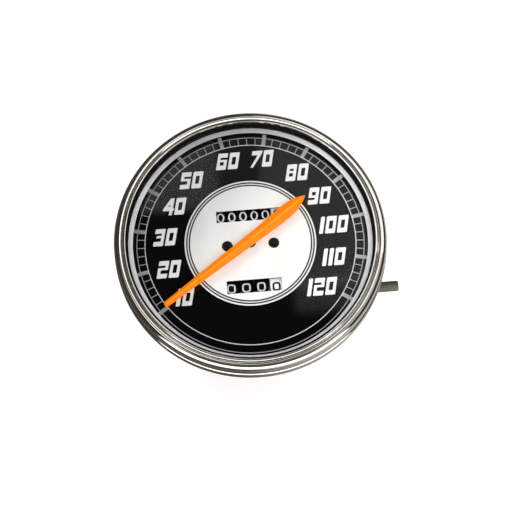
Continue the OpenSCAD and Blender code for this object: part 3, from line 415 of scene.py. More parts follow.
def silver_material():
    """Near-white satin silver with faint upright streaks, and the ink of its two black lines."""
    s = Surface("centre_silver", (0.86, 0.85, 0.85), 0.38, 0.1)
    shade = s.ramp(s.noise(60, 3, 0.5, (1, 0.25, 1)), (0.79, 0.785, 0.78), (0.89, 0.88, 0.885), 0.35, 0.65)
    radius, half = s.radius(), LINE_W / 2
    for start in (LINE_R1, LINE_R2):
        off = s.node("ShaderNodeMath", operation="SUBTRACT")
        s.link(radius, off.inputs[0])
        off.inputs[1].default_value = (start + half) * MM
        near = s.node("ShaderNodeMath", operation="ABSOLUTE")
        s.link(off.outputs["Value"], near.inputs[0])
        ink = s.node("ShaderNodeMix", data_type="RGBA")
        level = s.span(near.outputs["Value"], 1, 0, (half + BLEED) * MM, (half + BLEED + 0.04) * MM)
        s.link(level, ink.inputs["Factor"])
        s.link(shade, ink.inputs["A"])
        ink.inputs["B"].default_value = (*INK, 1)
        shade = ink.outputs["Result"]
    # Painted shade: the silver is darker towards the top left.
    s.fade(shade, 0.7, -36, -2)
    s.vary_rough(s.noise(1500, 5, 0.65), 0.25)
    s.bump(s.noise(2600, 4, 0.6), 0.006)
    return s.material


def orange_material():
    """Orange paint with painted light: it gives back a little light of its own, which tints the dial round
    it, and a painted highlight lightens its ridge.
    """
    s = Surface("pointer_orange", (0.66, 0.155, 0.0), 0.45)
    # The ridge mark paints a lighter stripe along the ridge: a painted highlight.
    ridge = s.node("ShaderNodeAttribute", attribute_name="ridge")
    tone = s.node("ShaderNodeMath", operation="ADD")
    s.link(s.span(s.noise(500, 5), 0.0, 0.3), tone.inputs[0])
    s.link(s.span(ridge.outputs["Fac"], 0.0, 0.7, 0.15, 0.6), tone.inputs[1])
    s.link(s.ramp(tone.outputs["Value"], (0.60, 0.135, 0.0), (1.0, 0.31, 0.015), 0, 1),
           s.bsdf.inputs["Base Color"])
    s.vary_rough(s.noise(900, 4), 0.2)
    s.bump(s.noise(2200, 3), 0.006)
    # Painted light: the emission makes the pointer glow and tints the dial round it orange.
    s.set(Emission_Color=(1.0, 0.155, 0.0, 1), Emission_Strength=0.4, Specular_IOR_Level=0.12)
    return s.material


def glass_material():
    """Flat instrument glass: clear, with faint smears and a Fresnel gloss on its outer faces."""
    material = bpy.data.materials.new("glass")
    material.use_nodes = True
    tree = material.node_tree
    tree.nodes.clear()
    add, link = tree.nodes.new, tree.links.new
    noise = add("ShaderNodeTexNoise")
    noise.inputs["Scale"].default_value = 60
    noise.inputs["Detail"].default_value = 5
    link(add("ShaderNodeTexCoord").outputs["Object"], noise.inputs["Vector"])
    rough = add("ShaderNodeMapRange")
    rough.inputs["To Min"].default_value = 0.005
    rough.inputs["To Max"].default_value = 0.05
    link(noise.outputs["Fac"], rough.inputs["Value"])
    gloss = add("ShaderNodeBsdfGlossy")
    link(rough.outputs["Result"], gloss.inputs["Roughness"])
    clear = add("ShaderNodeBsdfTransparent")
    clear.inputs["Color"].default_value = (0.97, 0.98, 0.975, 1)
    fresnel = add("ShaderNodeFresnel")
    fresnel.inputs["IOR"].default_value = 1.13
    outer = add("ShaderNodeMath")
    outer.operation = "SUBTRACT"
    outer.inputs[0].default_value = 1.0
    link(add("ShaderNodeNewGeometry").outputs["Backfacing"], outer.inputs[1])
    level = add("ShaderNodeMath")
    level.operation = "MULTIPLY"
    link(fresnel.outputs["Fac"], level.inputs[0])
    link(outer.outputs["Value"], level.inputs[1])
    mix = add("ShaderNodeMixShader")
    link(level.outputs["Value"], mix.inputs["Fac"])
    link(clear.outputs["BSDF"], mix.inputs[1])
    link(gloss.outputs["BSDF"], mix.inputs[2])
    link(mix.outputs["Shader"], add("ShaderNodeOutputMaterial").inputs["Surface"])
    return material


print_white = numeral_material()
ring_white = ring_material()
rubber = rubber_material()
cork = cork_material()
silver = silver_material()
orange = orange_material()
glass = glass_material()

# CAD pieces that stay as they are get their finish here

NODE_FINISH = {
    "base_plate": steel, "bridge_pillars": zinc, "top_bridge": steel, "gear_bracket": steel,
    "odometer_frame": steel, "trip_frame": steel, "idler_stub": zinc, "odometer_axle": zinc,
    "odometer_pinion_axle": zinc, "hairspring": bronze, "hairspring_stud": zinc,
    "dial_gasket": cork, "dial_plate": gloss_black, "dial_numerals": print_white,
    "pointer_spindle": zinc, "speed_cup": aluminium,
    "drive_shaft": zinc, "drive_worm": brass, "magnet_rotor": magnet, "counter_shaft": zinc,
    "counter_gears": brass, "idler_gear": brass, "cross_shaft": zinc, "cross_gears": brass,
    "trip_axle": zinc, "trip_drive_wheel": brass, "trip_pinion_axle": zinc, "shaft_bush": brass,
}
for counter, wheels in (("odometer", ODOMETER_COUNT), ("trip", TRIP_COUNT)):
    for i in range(wheels):
        NODE_FINISH["%s_wheel_%d" % (counter, i + 1)] = wheel_black if i else wheel_white
    for i in range(wheels - 1):
        NODE_FINISH["%s_pinion_%d" % (counter, i + 1)] = nylon


def scale_material():
    """The printed scale: its white inner line, its grey ticks and outer line, and the two black lines
    round the silver plate."""
    s = Surface("scale_print", (0.5, 0.5, 0.52), 0.55)
    black_r, white_r, reach = 39.6, 49.65, 60.0
    zones = s.node("ShaderNodeValToRGB")
    zones.color_ramp.interpolation = "CONSTANT"
    zones.color_ramp.elements[0].color = (*INK, 1)
    zones.color_ramp.elements[1].position = black_r / reach
    zones.color_ramp.elements[1].color = (0.66, 0.66, 0.68, 1)
    grey = zones.color_ramp.elements.new(white_r / reach)
    grey.color = (0.36, 0.36, 0.385, 1)
    s.link(s.span(s.radius(), 0, 1, 0, reach * MM), zones.inputs["Fac"])
    # Painted shade: the print is darker towards the top left.
    s.fade(zones.outputs["Color"], 0.55, -65, 35)
    s.vary_rough(s.noise(900, 4), 0.2)
    s.bump(s.noise(2600, 3), 0.003)
    return s.material


NODE_FINISH["dial_scale"] = scale_material()
for node, material in NODE_FINISH.items():
    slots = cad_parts[node].data.materials
    slots.clear()
    slots.append(material)

# Bezel: a rolled chrome ring with a beaded lip, a groove, a main roll, a skirt and a hem

LIP_R, LIP_Z, LIP_BEAD, LIP_FLAT = 58.3, 7.92, 0.8, 0.6
LIP_IN, SEAT_R, SEAT_Z = 57.67, 59.75, 7.6
GROOVE_R, GROOVE_Z = 59.5, 7.7
ROLL_C, ROLL_Z, ROLL_R, ROLL_IN_R = 60.9, 5.95, 2.4, 1.75
NECK_R, NECK_Z = 63.05, 0.75
SKIRT_R, SKIRT_IN, SHOULDER_BEAD, SHOULDER_Z = 63.8, 62.6, 1.1, -0.5
HEM_IN, HEM_Z0, HEM_Z1, HEM_BEAD = 60.2, -4.6, -2.8, 0.7
bezel_profile = (
    [(LIP_IN, SEAT_Z)]
    + [(r, LIP_Z + (z - LIP_Z) * LIP_FLAT) for r, z in arc(LIP_R, LIP_Z, LIP_BEAD, 118, -10, 20)]
    + [(GROOVE_R, GROOVE_Z)]
    + arc(ROLL_C, ROLL_Z, ROLL_R, 112, -42.1, 48)
    + [(NECK_R, NECK_Z)]
    + arc(SKIRT_R - SHOULDER_BEAD, SHOULDER_Z, SHOULDER_BEAD, 68, 0, 14)
    + arc(SKIRT_R - HEM_BEAD, HEM_Z0 + HEM_BEAD, HEM_BEAD, 0, -90, 8)
    + arc(HEM_IN + HEM_BEAD, HEM_Z0 + HEM_BEAD, HEM_BEAD, -90, -180, 8)
    + [(HEM_IN, HEM_Z1), (SKIRT_IN, HEM_Z1)]
    + arc(ROLL_C, ROLL_Z, ROLL_IN_R, -31.8, 90, 20)
    + [(SEAT_R - 0.03, SEAT_Z - 1), (SEAT_R, SEAT_Z)]
)
bezel = turned("chrome_bezel", bezel_profile, chrome, "housing", 384, 35, (0, 0, DIAL))
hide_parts("bezel")

# Glass, its rubber channel and the white light ring

GLASS_R, GLASS_Z0, GLASS_Z1, GLASS_BEVEL = 59.1, 5.2, 7.2, 0.2
lens_profile = [
    (0, GLASS_Z0), (GLASS_R - GLASS_BEVEL, GLASS_Z0), (GLASS_R, GLASS_Z0 + GLASS_BEVEL),
    (GLASS_R, GLASS_Z1 - GLASS_BEVEL), (GLASS_R - GLASS_BEVEL, GLASS_Z1), (0, GLASS_Z1)]
lens = turned("glass_disc", lens_profile, glass, "housing", 256, 20, (0, 0, DIAL))
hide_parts("lens")

GASKET_IN, GASKET_OUT, GASKET_Z0, GASKET_Z1 = 56.95, 59.7, 2.9, 7.58
SLOT_R, SLOT_Z0, SLOT_Z1 = GLASS_R + 0.04, GLASS_Z0 - 0.05, GLASS_Z1 + 0.05
gasket_profile = [
    (GASKET_IN, GASKET_Z0), (GASKET_OUT, GASKET_Z0), (GASKET_OUT, GASKET_Z1),
    (GASKET_IN + 0.15, GASKET_Z1), (GASKET_IN, GASKET_Z1 - 0.13), (GASKET_IN, SLOT_Z1 + 0.01),
    (SLOT_R, SLOT_Z1), (SLOT_R, SLOT_Z0), (GASKET_IN, SLOT_Z0 - 0.01), (GASKET_IN - 0.06, 4.9),
    (GASKET_IN + 0.08, 4.5), (GASKET_IN + 0.08, 3.9), (GASKET_IN - 0.06, 3.5)]
gasket = turned("rubber_channel", gasket_profile, rubber, "housing", 256, 40, (0, 0, DIAL))
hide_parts("lens_gasket")

RING_IN, RING_OUT, RING_FOOT, RING_TOP, RING_LIP_Z = 54.85, 61.25, 56.8, 2.9, 1.9
ring_profile = (
    [(RING_FOOT, 0), (RING_OUT, 0), (RING_OUT, RING_TOP), (GASKET_IN, RING_TOP)]
    + arc(RING_IN + 0.25, 2.38, 0.25, 100, 180, 6)
    + arc(RING_IN + 0.2, RING_LIP_Z + 0.2, 0.2, 180, 270, 4)
    + [(RING_FOOT, RING_LIP_Z)]
)
ring = turned("light_ring_white", ring_profile, ring_white, "housing", 256, 30, (0, 0, DIAL))
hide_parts("light_ring")

# Casing: a drawn cup with pressed holes, a flange, an upstand rim and a boss for the stem

CORNER = 5.0
REAR_FLAT_R = CASING_R - CORNER
RIM_T, RIM_H = 0.9, 4
STUD_Y = 38.0
LAMP_X, LAMP_Y = -32, 16
SPIGOT_HOLE_R, STUD_HOLE_R, LAMP_HOLE_R = 8.22, 3.32, 7.5
holes = [circle(0, 0, SPIGOT_HOLE_R, 96)]
holes += [circle(0, y, STUD_HOLE_R, 48) for y in (STUD_Y, -STUD_Y)]
holes += [circle(LAMP_X, y, LAMP_HOLE_R, 96) for y in (LAMP_Y, -LAMP_Y)]
verts, faces = [], []
plate_points([circle(0, 0, REAR_FLAT_R, 192)] + [reverse(h) for h in holes], 0, WALL, verts, faces)
wall_profile = (
    [(REAR_FLAT_R, 0)]
    + arc(REAR_FLAT_R, CORNER, CORNER, -90, 0, 14)[1:]
    + arc(CASING_R + 0.8, CASING_H - WALL - 0.8, 0.8, 180, 90, 6)
    + arc(FLANGE_R - 0.3, CASING_H - WALL + 0.3, 0.3, -90, 0, 4)
    + [(FLANGE_R, CASING_H + RIM_H), (FLANGE_R - RIM_T, CASING_H + RIM_H)]
    + [(FLANGE_R - RIM_T, CASING_H), (CASING_R - WALL, CASING_H)]
    + arc(REAR_FLAT_R, CORNER, CORNER - WALL, 0, -90, 14)
)
add_mesh(verts, faces, *lathe_points(wall_profile, 192))
BOSS_R, BOSS_BORE, BOSS_L = 6, 4.02, 13
boss_profile = [(BOSS_BORE, 0), (BOSS_BORE, BOSS_L - 0.4), (BOSS_BORE + 0.38, BOSS_L),
                (BOSS_R - 0.4, BOSS_L), (BOSS_R, BOSS_L - 0.4), (BOSS_R, 0)]
boss_verts, boss_faces = lathe_points(boss_profile, 64)
boss_verts = [(BOSS_X - BOSS_L + z, STEM_Y + y, STEM_Z - x) for x, y, z in boss_verts]
add_mesh(verts, faces, boss_verts, boss_faces)
casing = finish_mesh("casing_cup", verts, faces, casing_paint, "housing", 32)
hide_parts("casing")

# Mounting studs, cable spigot, the stem's bush and the reset stem


def threaded(verts, faces, r, depth, pitch, z0, z1, n, bore=None):
    """Adds a threaded shank with chamfered ends, closed or with a bore."""
    shank, sides, rows = thread_points(r, depth, pitch, z0, z1, n)
    base = len(verts)
    add_mesh(verts, faces, shank, sides)
    first = [base + i for i in range(n)]
    last = [base + rows * n + i for i in range(n)]
    if bore is None:
        faces.append(tuple(reversed(first)))
        faces.append(tuple(last))
        return
    inner = len(verts)
    angles = [2 * math.pi * i / n for i in range(n)]
    for z in (z0, z1):
        verts += [(bore * math.cos(a), bore * math.sin(a), z) for a in angles]
    for i in range(n):
        j = (i + 1) % n
        faces.append((first[j], first[i], inner + i, inner + j))
        faces.append((last[i], last[j], inner + n + j, inner + n + i))
        faces.append((inner + j, inner + i, inner + n + i, inner + n + j))


PITCH = 1.0
STUD_R, STUD_L, STUD_HEAD_R, STUD_HEAD_Z = 3.0, 16.0, 5, 3
stud_profile = [(0, -1.2), (2.95, -1.2), (2.95, 0), (3.3, 0), (3.3, WALL), (STUD_HEAD_R, WALL),
                (STUD_HEAD_R, STUD_HEAD_Z - 0.2), (STUD_HEAD_R - 0.2, STUD_HEAD_Z), (0, STUD_HEAD_Z)]
verts, faces = [], []
for side in (-1, 1):
    part_verts, part_faces = [], []
    threaded(part_verts, part_faces, STUD_R, 0.5, PITCH, -STUD_L, -1.0, 48)
    add_mesh(part_verts, part_faces, *lathe_points(stud_profile, 48))
    add_mesh(verts, faces, [(x, y + side * STUD_Y, z) for x, y, z in part_verts], part_faces)
studs = finish_mesh("threaded_studs", verts, faces, zinc, "housing", 35)
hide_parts("mounting_studs")

SPIGOT_R, SPIGOT_L, SPIGOT_BORE, BUSH_BORE = 7.9, 12, 5.0, 4.02
SPIGOT_HEAD_R, SPIGOT_HEAD_Z = 11.9, 3
spigot_profile = [(BUSH_BORE, -6), (7.85, -6), (7.85, 0), (8.2, 0), (8.2, WALL), (SPIGOT_HEAD_R, WALL),
                  (SPIGOT_HEAD_R, SPIGOT_HEAD_Z), (BUSH_BORE, SPIGOT_HEAD_Z)]
verts, faces = [], []
threaded(verts, faces, SPIGOT_R, 0.55, PITCH, -SPIGOT_L, -1.2, 128, SPIGOT_BORE)
add_mesh(verts, faces, *lathe_points(spigot_profile, 96))
spigot = finish_mesh("threaded_spigot", verts, faces, brass, "housing", 35)
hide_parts("cable_spigot")

BUSH_IN, BUSH_OUT, BUSH_HEAD_R, BUSH_L = 2.25, 4.0, 5.2, 6.999
bush_profile = [(BUSH_IN, -BUSH_L), (BUSH_OUT, -BUSH_L), (BUSH_OUT, 0), (BUSH_HEAD_R, 0), (BUSH_HEAD_R, 1),
                (BUSH_IN, 1)]
bush = turned("stem_bush", rounded(bush_profile, 0.15, 2), brass, "housing", 96, 35,
              (BOSS_X, STEM_Y, STEM_Z), "X")
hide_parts("reset_bush")

GEAR_X0, GEAR_X1 = 22.0, 24.0
ROD_R, KNOB_R, CUP_R, CUP_DEPTH = 2.2, 2.5, 0.9, 0.3
SHOULDER_X, STEM_END = BOSS_X + 2, 69.0
stem_profile = [
    (0, GEAR_X0), (ROD_R, GEAR_X0), (ROD_R, SHOULDER_X), (KNOB_R - 0.2, SHOULDER_X),
    (KNOB_R, SHOULDER_X + 0.2), (KNOB_R, STEM_END - 0.4), (KNOB_R - 0.4, STEM_END),
    (CUP_R, STEM_END), (CUP_R - 0.2, STEM_END - CUP_DEPTH), (0, STEM_END - CUP_DEPTH)]
stem_verts, stem_faces = lathe_points(stem_profile, 96)
TEETH, ROOT_R, TIP_R, ROOT_SHARE, TIP_SHARE = 16, 3.425, 4.4, 0.2604, 0.126
gear_turn = math.degrees(math.atan2(AXLE_Z - STEM_Z, TRIP_Y - STEM_Y))
gear = []
for i in range(TEETH):
    for r, share in ((ROOT_R, -ROOT_SHARE), (TIP_R, -TIP_SHARE), (TIP_R, TIP_SHARE), (ROOT_R, ROOT_SHARE)):
        a = math.radians(gear_turn + FULL / TEETH * (i + share))
        gear.append((r * math.cos(a), r * math.sin(a)))
verts, faces = [], []
plate_points([gear], GEAR_X0, GEAR_X1, verts, faces)
verts = [(z, STEM_Y + x, STEM_Z + y) for x, y, z in verts]
add_mesh(verts, faces, [(z, STEM_Y + y, STEM_Z - x) for x, y, z in stem_verts], stem_faces)
stem = finish_mesh("reset_rod", verts, faces, olive_steel, "stem", 30)
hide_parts("reset_stem")

# Silver centre plate with two windows and three holes

ODO_WINDOW = (-15.1, 10.8, 15.7, 16.4)   # left, bottom, right and top
TRIP_WINDOW = (-12.5, -24.5, 13.1, -18.2)
PLATE_R, PLATE_HOLE_R = 30.85, 2.6
SCREW_X, SCREW_Y = 10.9, -1.1


def window(x0, y0, x1, y1):
    return rounded([(x0, y0), (x0, y1), (x1, y1), (x1, y0)], 0.25, 3)


plate_holes = [window(*ODO_WINDOW), window(*TRIP_WINDOW)]
for x, y in ((0, 0), (-SCREW_X, SCREW_Y), (SCREW_X, SCREW_Y)):
    plate_holes.append(reverse(circle(x, y, PLATE_HOLE_R, 64)))
verts, faces = [], []
plate_points([circle(0, 0, PLATE_R, 256)] + plate_holes, 0, CENTRE_TOP, verts, faces)
centre = finish_mesh("silver_plate", verts, faces, silver, "housing", 30, (0, 0, DIAL))
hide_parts("centre_plate")

# Dial screws with domed, slotted heads

SCREW_R, SCREW_TOP, SCREW_DOME, SCREW_SHANK_R, SCREW_L = 2.2, 0.8, 0.22, 1.2, 5
SCREW_SLOT_W, SCREW_SLOT_D = 0.54, 0.28


def screw_height(x, share):
    """The height of a screw's head at a share of its radius."""
    in_slot = share <= 0.05 or abs(x) < SCREW_SLOT_W / 2
    return SCREW_TOP - SCREW_DOME * share ** 3 - (SCREW_SLOT_D if in_slot else 0)


def screw_points(n=64, rings=8):
    """A screw at the origin, with a head of rings round its middle and a shank."""
    angles = [2 * math.pi * i / n for i in range(n)]
    verts, faces = [], []
    for k in range(rings + 1):
        share = k / rings
        for a in angles:
            x, y = SCREW_R * share * math.cos(a), SCREW_R * share * math.sin(a)
            verts.append((x, y, screw_height(x, share)))
    verts += [(SCREW_R * math.cos(a), SCREW_R * math.sin(a), 0) for a in angles]
    for k in range(rings + 1):
        for i in range(n):
            j = (i + 1) % n
            faces.append((k * n + i, k * n + j, (k + 1) * n + j, (k + 1) * n + i))
    faces.append(tuple((rings + 1) * n + i for i in reversed(range(n))))
    faces.append(tuple(range(n)))
    shank = [(0, -SCREW_L), (SCREW_SHANK_R, -SCREW_L), (SCREW_SHANK_R, 0.05), (0, 0.05)]
    add_mesh(verts, faces, *lathe_points(shank, 32))
    return verts, faces


screw_verts, screw_faces = screw_points()
verts, faces = [], []
for side in (-1, 1):
    add_mesh(verts, faces, [(x + side * SCREW_X, y + SCREW_Y, z) for x, y, z in screw_verts], screw_faces)
screws = finish_mesh("slotted_screws", verts, faces, screw_black, "housing", 40, (0, 0, DIAL), False)
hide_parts("dial_screws")

# Pointer: two sloping faces that meet on a ridge

POINTER_L, TAIL_L, BELLY = 50.4, 33.8, 20.0
POINTER_W, TIP_W, WAIST_W = 6.7, 2.75, 5.5
TAIL_BOW = 0.9                # how far the tail's end lies to one side
POINTER_RISE, EDGE_T, RIDGE_T = 3.6, 0.5, 1.5
REST_ANGLE = 214.6


def half_width(x):
    """Half the pointer's width at a distance from its spindle, which is negative on the tail."""
    if x >= 0:
        return (WAIST_W + (TIP_W - WAIST_W) * x / POINTER_L) / 2
    if x > -BELLY:
        return (WAIST_W + (POINTER_W - WAIST_W) * (1 - math.cos(math.pi * x / BELLY)) / 2) / 2
    return POINTER_W / 2 * (1 - 0.95 * ((-x - BELLY) / (TAIL_L - BELLY)) ** 2.6)


tip_x = POINTER_L - TIP_W / 2
stations = [-TAIL_L + TAIL_L * i / 60 for i in range(60)] + [tip_x * i / 40 for i in range(41)]
sections = [(x, half_width(x), 1.0) for x in stations]
sections[0] = (-TAIL_L, half_width(-TAIL_L) * 0.6, 0.6)
for i in range(1, 9):
    a = math.pi / 2 * i / 8
    sections.append((tip_x + TIP_W / 2 * math.sin(a), max(0.08, half_width(tip_x) * math.cos(a)),
                     1 - 0.5 * (i / 8) ** 2))
verts, faces = [], []
for x, h, tall in sections:
    soft = min(0.12, h * 0.3)
    edge, ridge = EDGE_T * tall, EDGE_T * tall + (RIDGE_T - EDGE_T) * tall * min(1.0, h / 0.9)
    near = min(0.45, h * 0.3)
    drop = (ridge - edge) * near / h
    verts += [(x, -h + soft, 0), (x, -h, soft), (x, -h, edge - soft / 2), (x, -h + soft, edge + 0.02),
              (x, -near, ridge - drop), (x, 0, ridge - drop * 0.35), (x, near, ridge - drop),
              (x, h - soft, edge + 0.02), (x, h, edge - soft / 2), (x, h, soft), (x, h - soft, 0)]
per, ridge_point = 11, 5        # points of a section, and which of them is the ridge
for i in range(len(sections) - 1):
    for k in range(per):
        m = (k + 1) % per
        faces.append((i * per + k, i * per + m, (i + 1) * per + m, (i + 1) * per + k))
faces.append(tuple(range(per)))
faces.append(tuple(reversed(range((len(sections) - 1) * per, len(sections) * per))))
c, s = math.cos(math.radians(REST_ANGLE)), math.sin(math.radians(REST_ANGLE))
verts = [(x, y - TAIL_BOW * (min(x, 0) / TAIL_L) ** 2, z) for x, y, z in verts]
verts = [(x * c - y * s, x * s + y * c, z) for x, y, z in verts]
pointer = finish_mesh("orange_pointer", verts, faces, orange, "needle", 24,
                      (0, 0, DIAL + POINTER_RISE), False)
# Marks the ridge points, where the orange paint gets its painted highlight.
ridge_highlight_mark = pointer.data.attributes.new("ridge", "FLOAT", "POINT")
for i in range(len(verts)):
    ridge_highlight_mark.data[i].value = 1.0 if i % per == ridge_point else 0.0
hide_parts("pointer")

HUB_BORE = 0.72
hub_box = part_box("pointer_hub")
hub_low, hub_high, hub_r = hub_box[0].z / MM, hub_box[1].z / MM, hub_box[1].x / MM
hub_profile = [(HUB_BORE, hub_low), (hub_r, hub_low), (hub_r, hub_high), (HUB_BORE, hub_high)]
hub = turned("pointer_boss", rounded(hub_profile, 0.2, 3), hub_black, "needle", 96, 30)
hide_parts("pointer_hub")

# Number wheels: a smooth printed band and ten digits round each wheel

BAND_IN, BAND_OUT, BAND_OVER = 9.2, 10.03, 0.02
INK_R, INK_T = 10.015, 0.05
DIGIT_STEP = 36


def bow(cx, cy, rx, ry, a0, a1, n=14):
    """Points on an ellipse, from angle a0 to a1 in degrees."""
    return [(cx + rx * math.cos(math.radians(a0 + (a1 - a0) * i / n)),
             cy + ry * math.sin(math.radians(a0 + (a1 - a0) * i / n))) for i in range(n + 1)]


# Strokes of each digit in a box from -0.5 to 0.5
DIGITS = {
    0: [bow(0, 0, 0.5, 0.5, 0, FULL, 36)[:-1]],
    1: [[(-0.22, 0.28), (0.04, 0.5), (0.04, -0.5)]],
    2: [bow(0, 0.22, 0.45, 0.28, 170, -35) + [(-0.45, -0.5), (0.5, -0.5)]],
    3: [bow(-0.02, 0.25, 0.42, 0.25, 150, -85) + bow(0, -0.24, 0.46, 0.26, 85, -150)],
    4: [[(0.2, -0.5), (0.2, 0.5), (-0.48, -0.2), (0.5, -0.2)]],
    5: [[(0.42, 0.5), (-0.34, 0.5), (-0.4, 0.03)] + bow(0, -0.19, 0.46, 0.31, 125, -150)],
    6: [bow(0.5, -0.19, 1.0, 0.72, 105, 180, 10)[:-1] + bow(0, -0.2, 0.46, 0.3, 180, 530, 24)],
    7: [[(-0.48, 0.5), (0.48, 0.5), (-0.1, -0.5)]],
    8: [bow(0, 0.25, 0.38, 0.25, 0, FULL, 24)[:-1], bow(0, -0.24, 0.46, 0.26, 0, FULL, 24)[:-1]],
    9: [bow(-0.5, 0.19, 1.0, 0.72, 285, 360, 10)[:-1] + bow(0, 0.2, 0.46, 0.3, 0, 350, 24)],
}
CLOSED = {(0, 0), (8, 0), (8, 1)}   # digit and stroke
SQUARE_ZERO = rounded([(-0.5, -0.5), (0.5, -0.5), (0.5, 0.5), (-0.5, 0.5)], 0.36, 8)


def densify(points, closed, step):
    """Cuts the stretches between the points into steps."""
    out = []
    last = len(points) if closed else len(points) - 1
    for i in range(last):
        a, b = Vector(points[i]), Vector(points[(i + 1) % len(points)])
        cuts = max(1, int(math.ceil((b - a).length / step)))
        out += [a.lerp(b, k / cuts) for k in range(cuts)]
    if not closed:
        out.append(Vector(points[-1]))
    return out


def stroke_faces(points, width, closed, wrap, verts, faces):
    """Adds a raised stroke that follows the points and is wrapped on a wheel."""
    n = len(points)
    base = len(verts)
    for i in range(n):
        before = points[(i - 1) % n] if closed or i else points[i]
        after = points[(i + 1) % n] if closed or i < n - 1 else points[i]
        side = (after - before).normalized()
        off = Vector((-side.y, side.x)) * width / 2
        for p in (points[i] - off, points[i] + off):
            verts += [wrap(p.x, p.y, 0.0), wrap(p.x, p.y, INK_T)]
    last = n if closed else n - 1
    for i in range(last):
        a, b = base + 4 * i, base + 4 * ((i + 1) % n)
        faces += [(a + 1, b + 1, b + 3, a + 3), (a, a + 1, b + 1, b), (a + 3, a + 2, b + 2, b + 3),
                  (a + 2, a, b, b + 2)]
    if not closed:
        a, b = base, base + 4 * (n - 1)
        faces += [(a, a + 2, a + 3, a + 1), (b, b + 1, b + 3, b + 2)]


def number_band(body, x, y, rim, width, height, stroke, lift, square, white):
    """A wheel's printed rim and its ten digits. lift is the shift of the zero, in degrees."""
    low, high = -rim / 2 - BAND_OVER, rim / 2 + BAND_OVER
    outline = rounded([(BAND_IN, low), (BAND_OUT, low), (BAND_OUT, high), (BAND_IN, high)], 0.12, 2)
    band = turned(body + "_band", outline, wheel_white if white else wheel_black, body, 192, 30,
                  (x, y, AXLE_Z), "X")
    verts, faces = [], []
    for digit, strokes in DIGITS.items():
        turn = math.radians(lift - DIGIT_STEP * digit)

        def wrap(u, v, rise):
            a = turn + v / BAND_OUT
            r = INK_R + rise
            return (x + u, y + r * math.sin(a), AXLE_Z + r * math.cos(a))

        for k, points in enumerate(strokes):
            closed = (digit, k) in CLOSED
            if digit == 0 and square:
                points = SQUARE_ZERO
            sized = [(px * (width - stroke), py * (height - stroke)) for px, py in points]
            stroke_faces(densify(sized, closed, 0.35), stroke, closed, wrap, verts, faces)
    ink = wheel_ink_black if white else wheel_ink
    digits = finish_mesh(body + "_digits", verts, faces, ink, body, 40, (0, 0, 0), False)


for i in range(ODOMETER_COUNT):
    number_band("odometer_%d" % (i + 1), ODOMETER_X - ODOMETER_PITCH * i, ODOMETER_Y, rim=4.1,
                width=3.5, height=4.75, stroke=0.68, lift=1.0, square=False, white=i == 0)
for i in range(TRIP_COUNT):
    first = i == 0
    number_band("trip_%d" % (i + 1), TRIP_X - TRIP_PITCH * i, TRIP_Y, rim=5.3, width=3.9, height=4.4,
                stroke=1.0 if first else 0.68, lift=-3.5 if first else -1.0, square=True, white=first)

# Floor and light

FLOOR_HALF, FLOOR_Z = 3.0, -0.0165


def floor_material():
    """A white floor, dim and darker to the left for gloss, and clear from below."""
    s = Surface("floor_white", (0.95, 0.95, 0.95), 0.9)
    s.set(Emission_Color=(1, 1, 1, 1), Emission_Strength=0.35, Specular_IOR_Level=0.0)
    dim = s.node("ShaderNodeEmission")
    side = s.span(s.axes()["X"], 0, 1, -0.02, 0.08)
    s.link(s.ramp(side, (0.09, 0.085, 0.07), (0.5, 0.49, 0.47), 0, 1), dim.inputs["Color"])
    glossy = s.node("ShaderNodeLightPath").outputs["Is Glossy Ray"]
    above = s.mix(glossy, s.bsdf.outputs["BSDF"], dim.outputs["Emission"])
    below = s.node("ShaderNodeNewGeometry").outputs["Backfacing"]
    clear = s.node("ShaderNodeBsdfTransparent").outputs["BSDF"]
    s.link(s.mix(below, above, clear), s.tree.nodes["Material Output"].inputs["Surface"])
    return s.material


floor_mesh = bpy.data.meshes.new("floor")
floor_mesh.from_pydata([(-FLOOR_HALF, -FLOOR_HALF, FLOOR_Z), (FLOOR_HALF, -FLOOR_HALF, FLOOR_Z),
                        (FLOOR_HALF, FLOOR_HALF, FLOOR_Z), (-FLOOR_HALF, FLOOR_HALF, FLOOR_Z)],
                       [], [(0, 1, 2, 3)])
floor_mesh.materials.append(floor_material())
floor = bpy.data.objects.new("floor", floor_mesh)
scene.collection.objects.link(floor)

scene.view_settings.view_transform = "Standard"


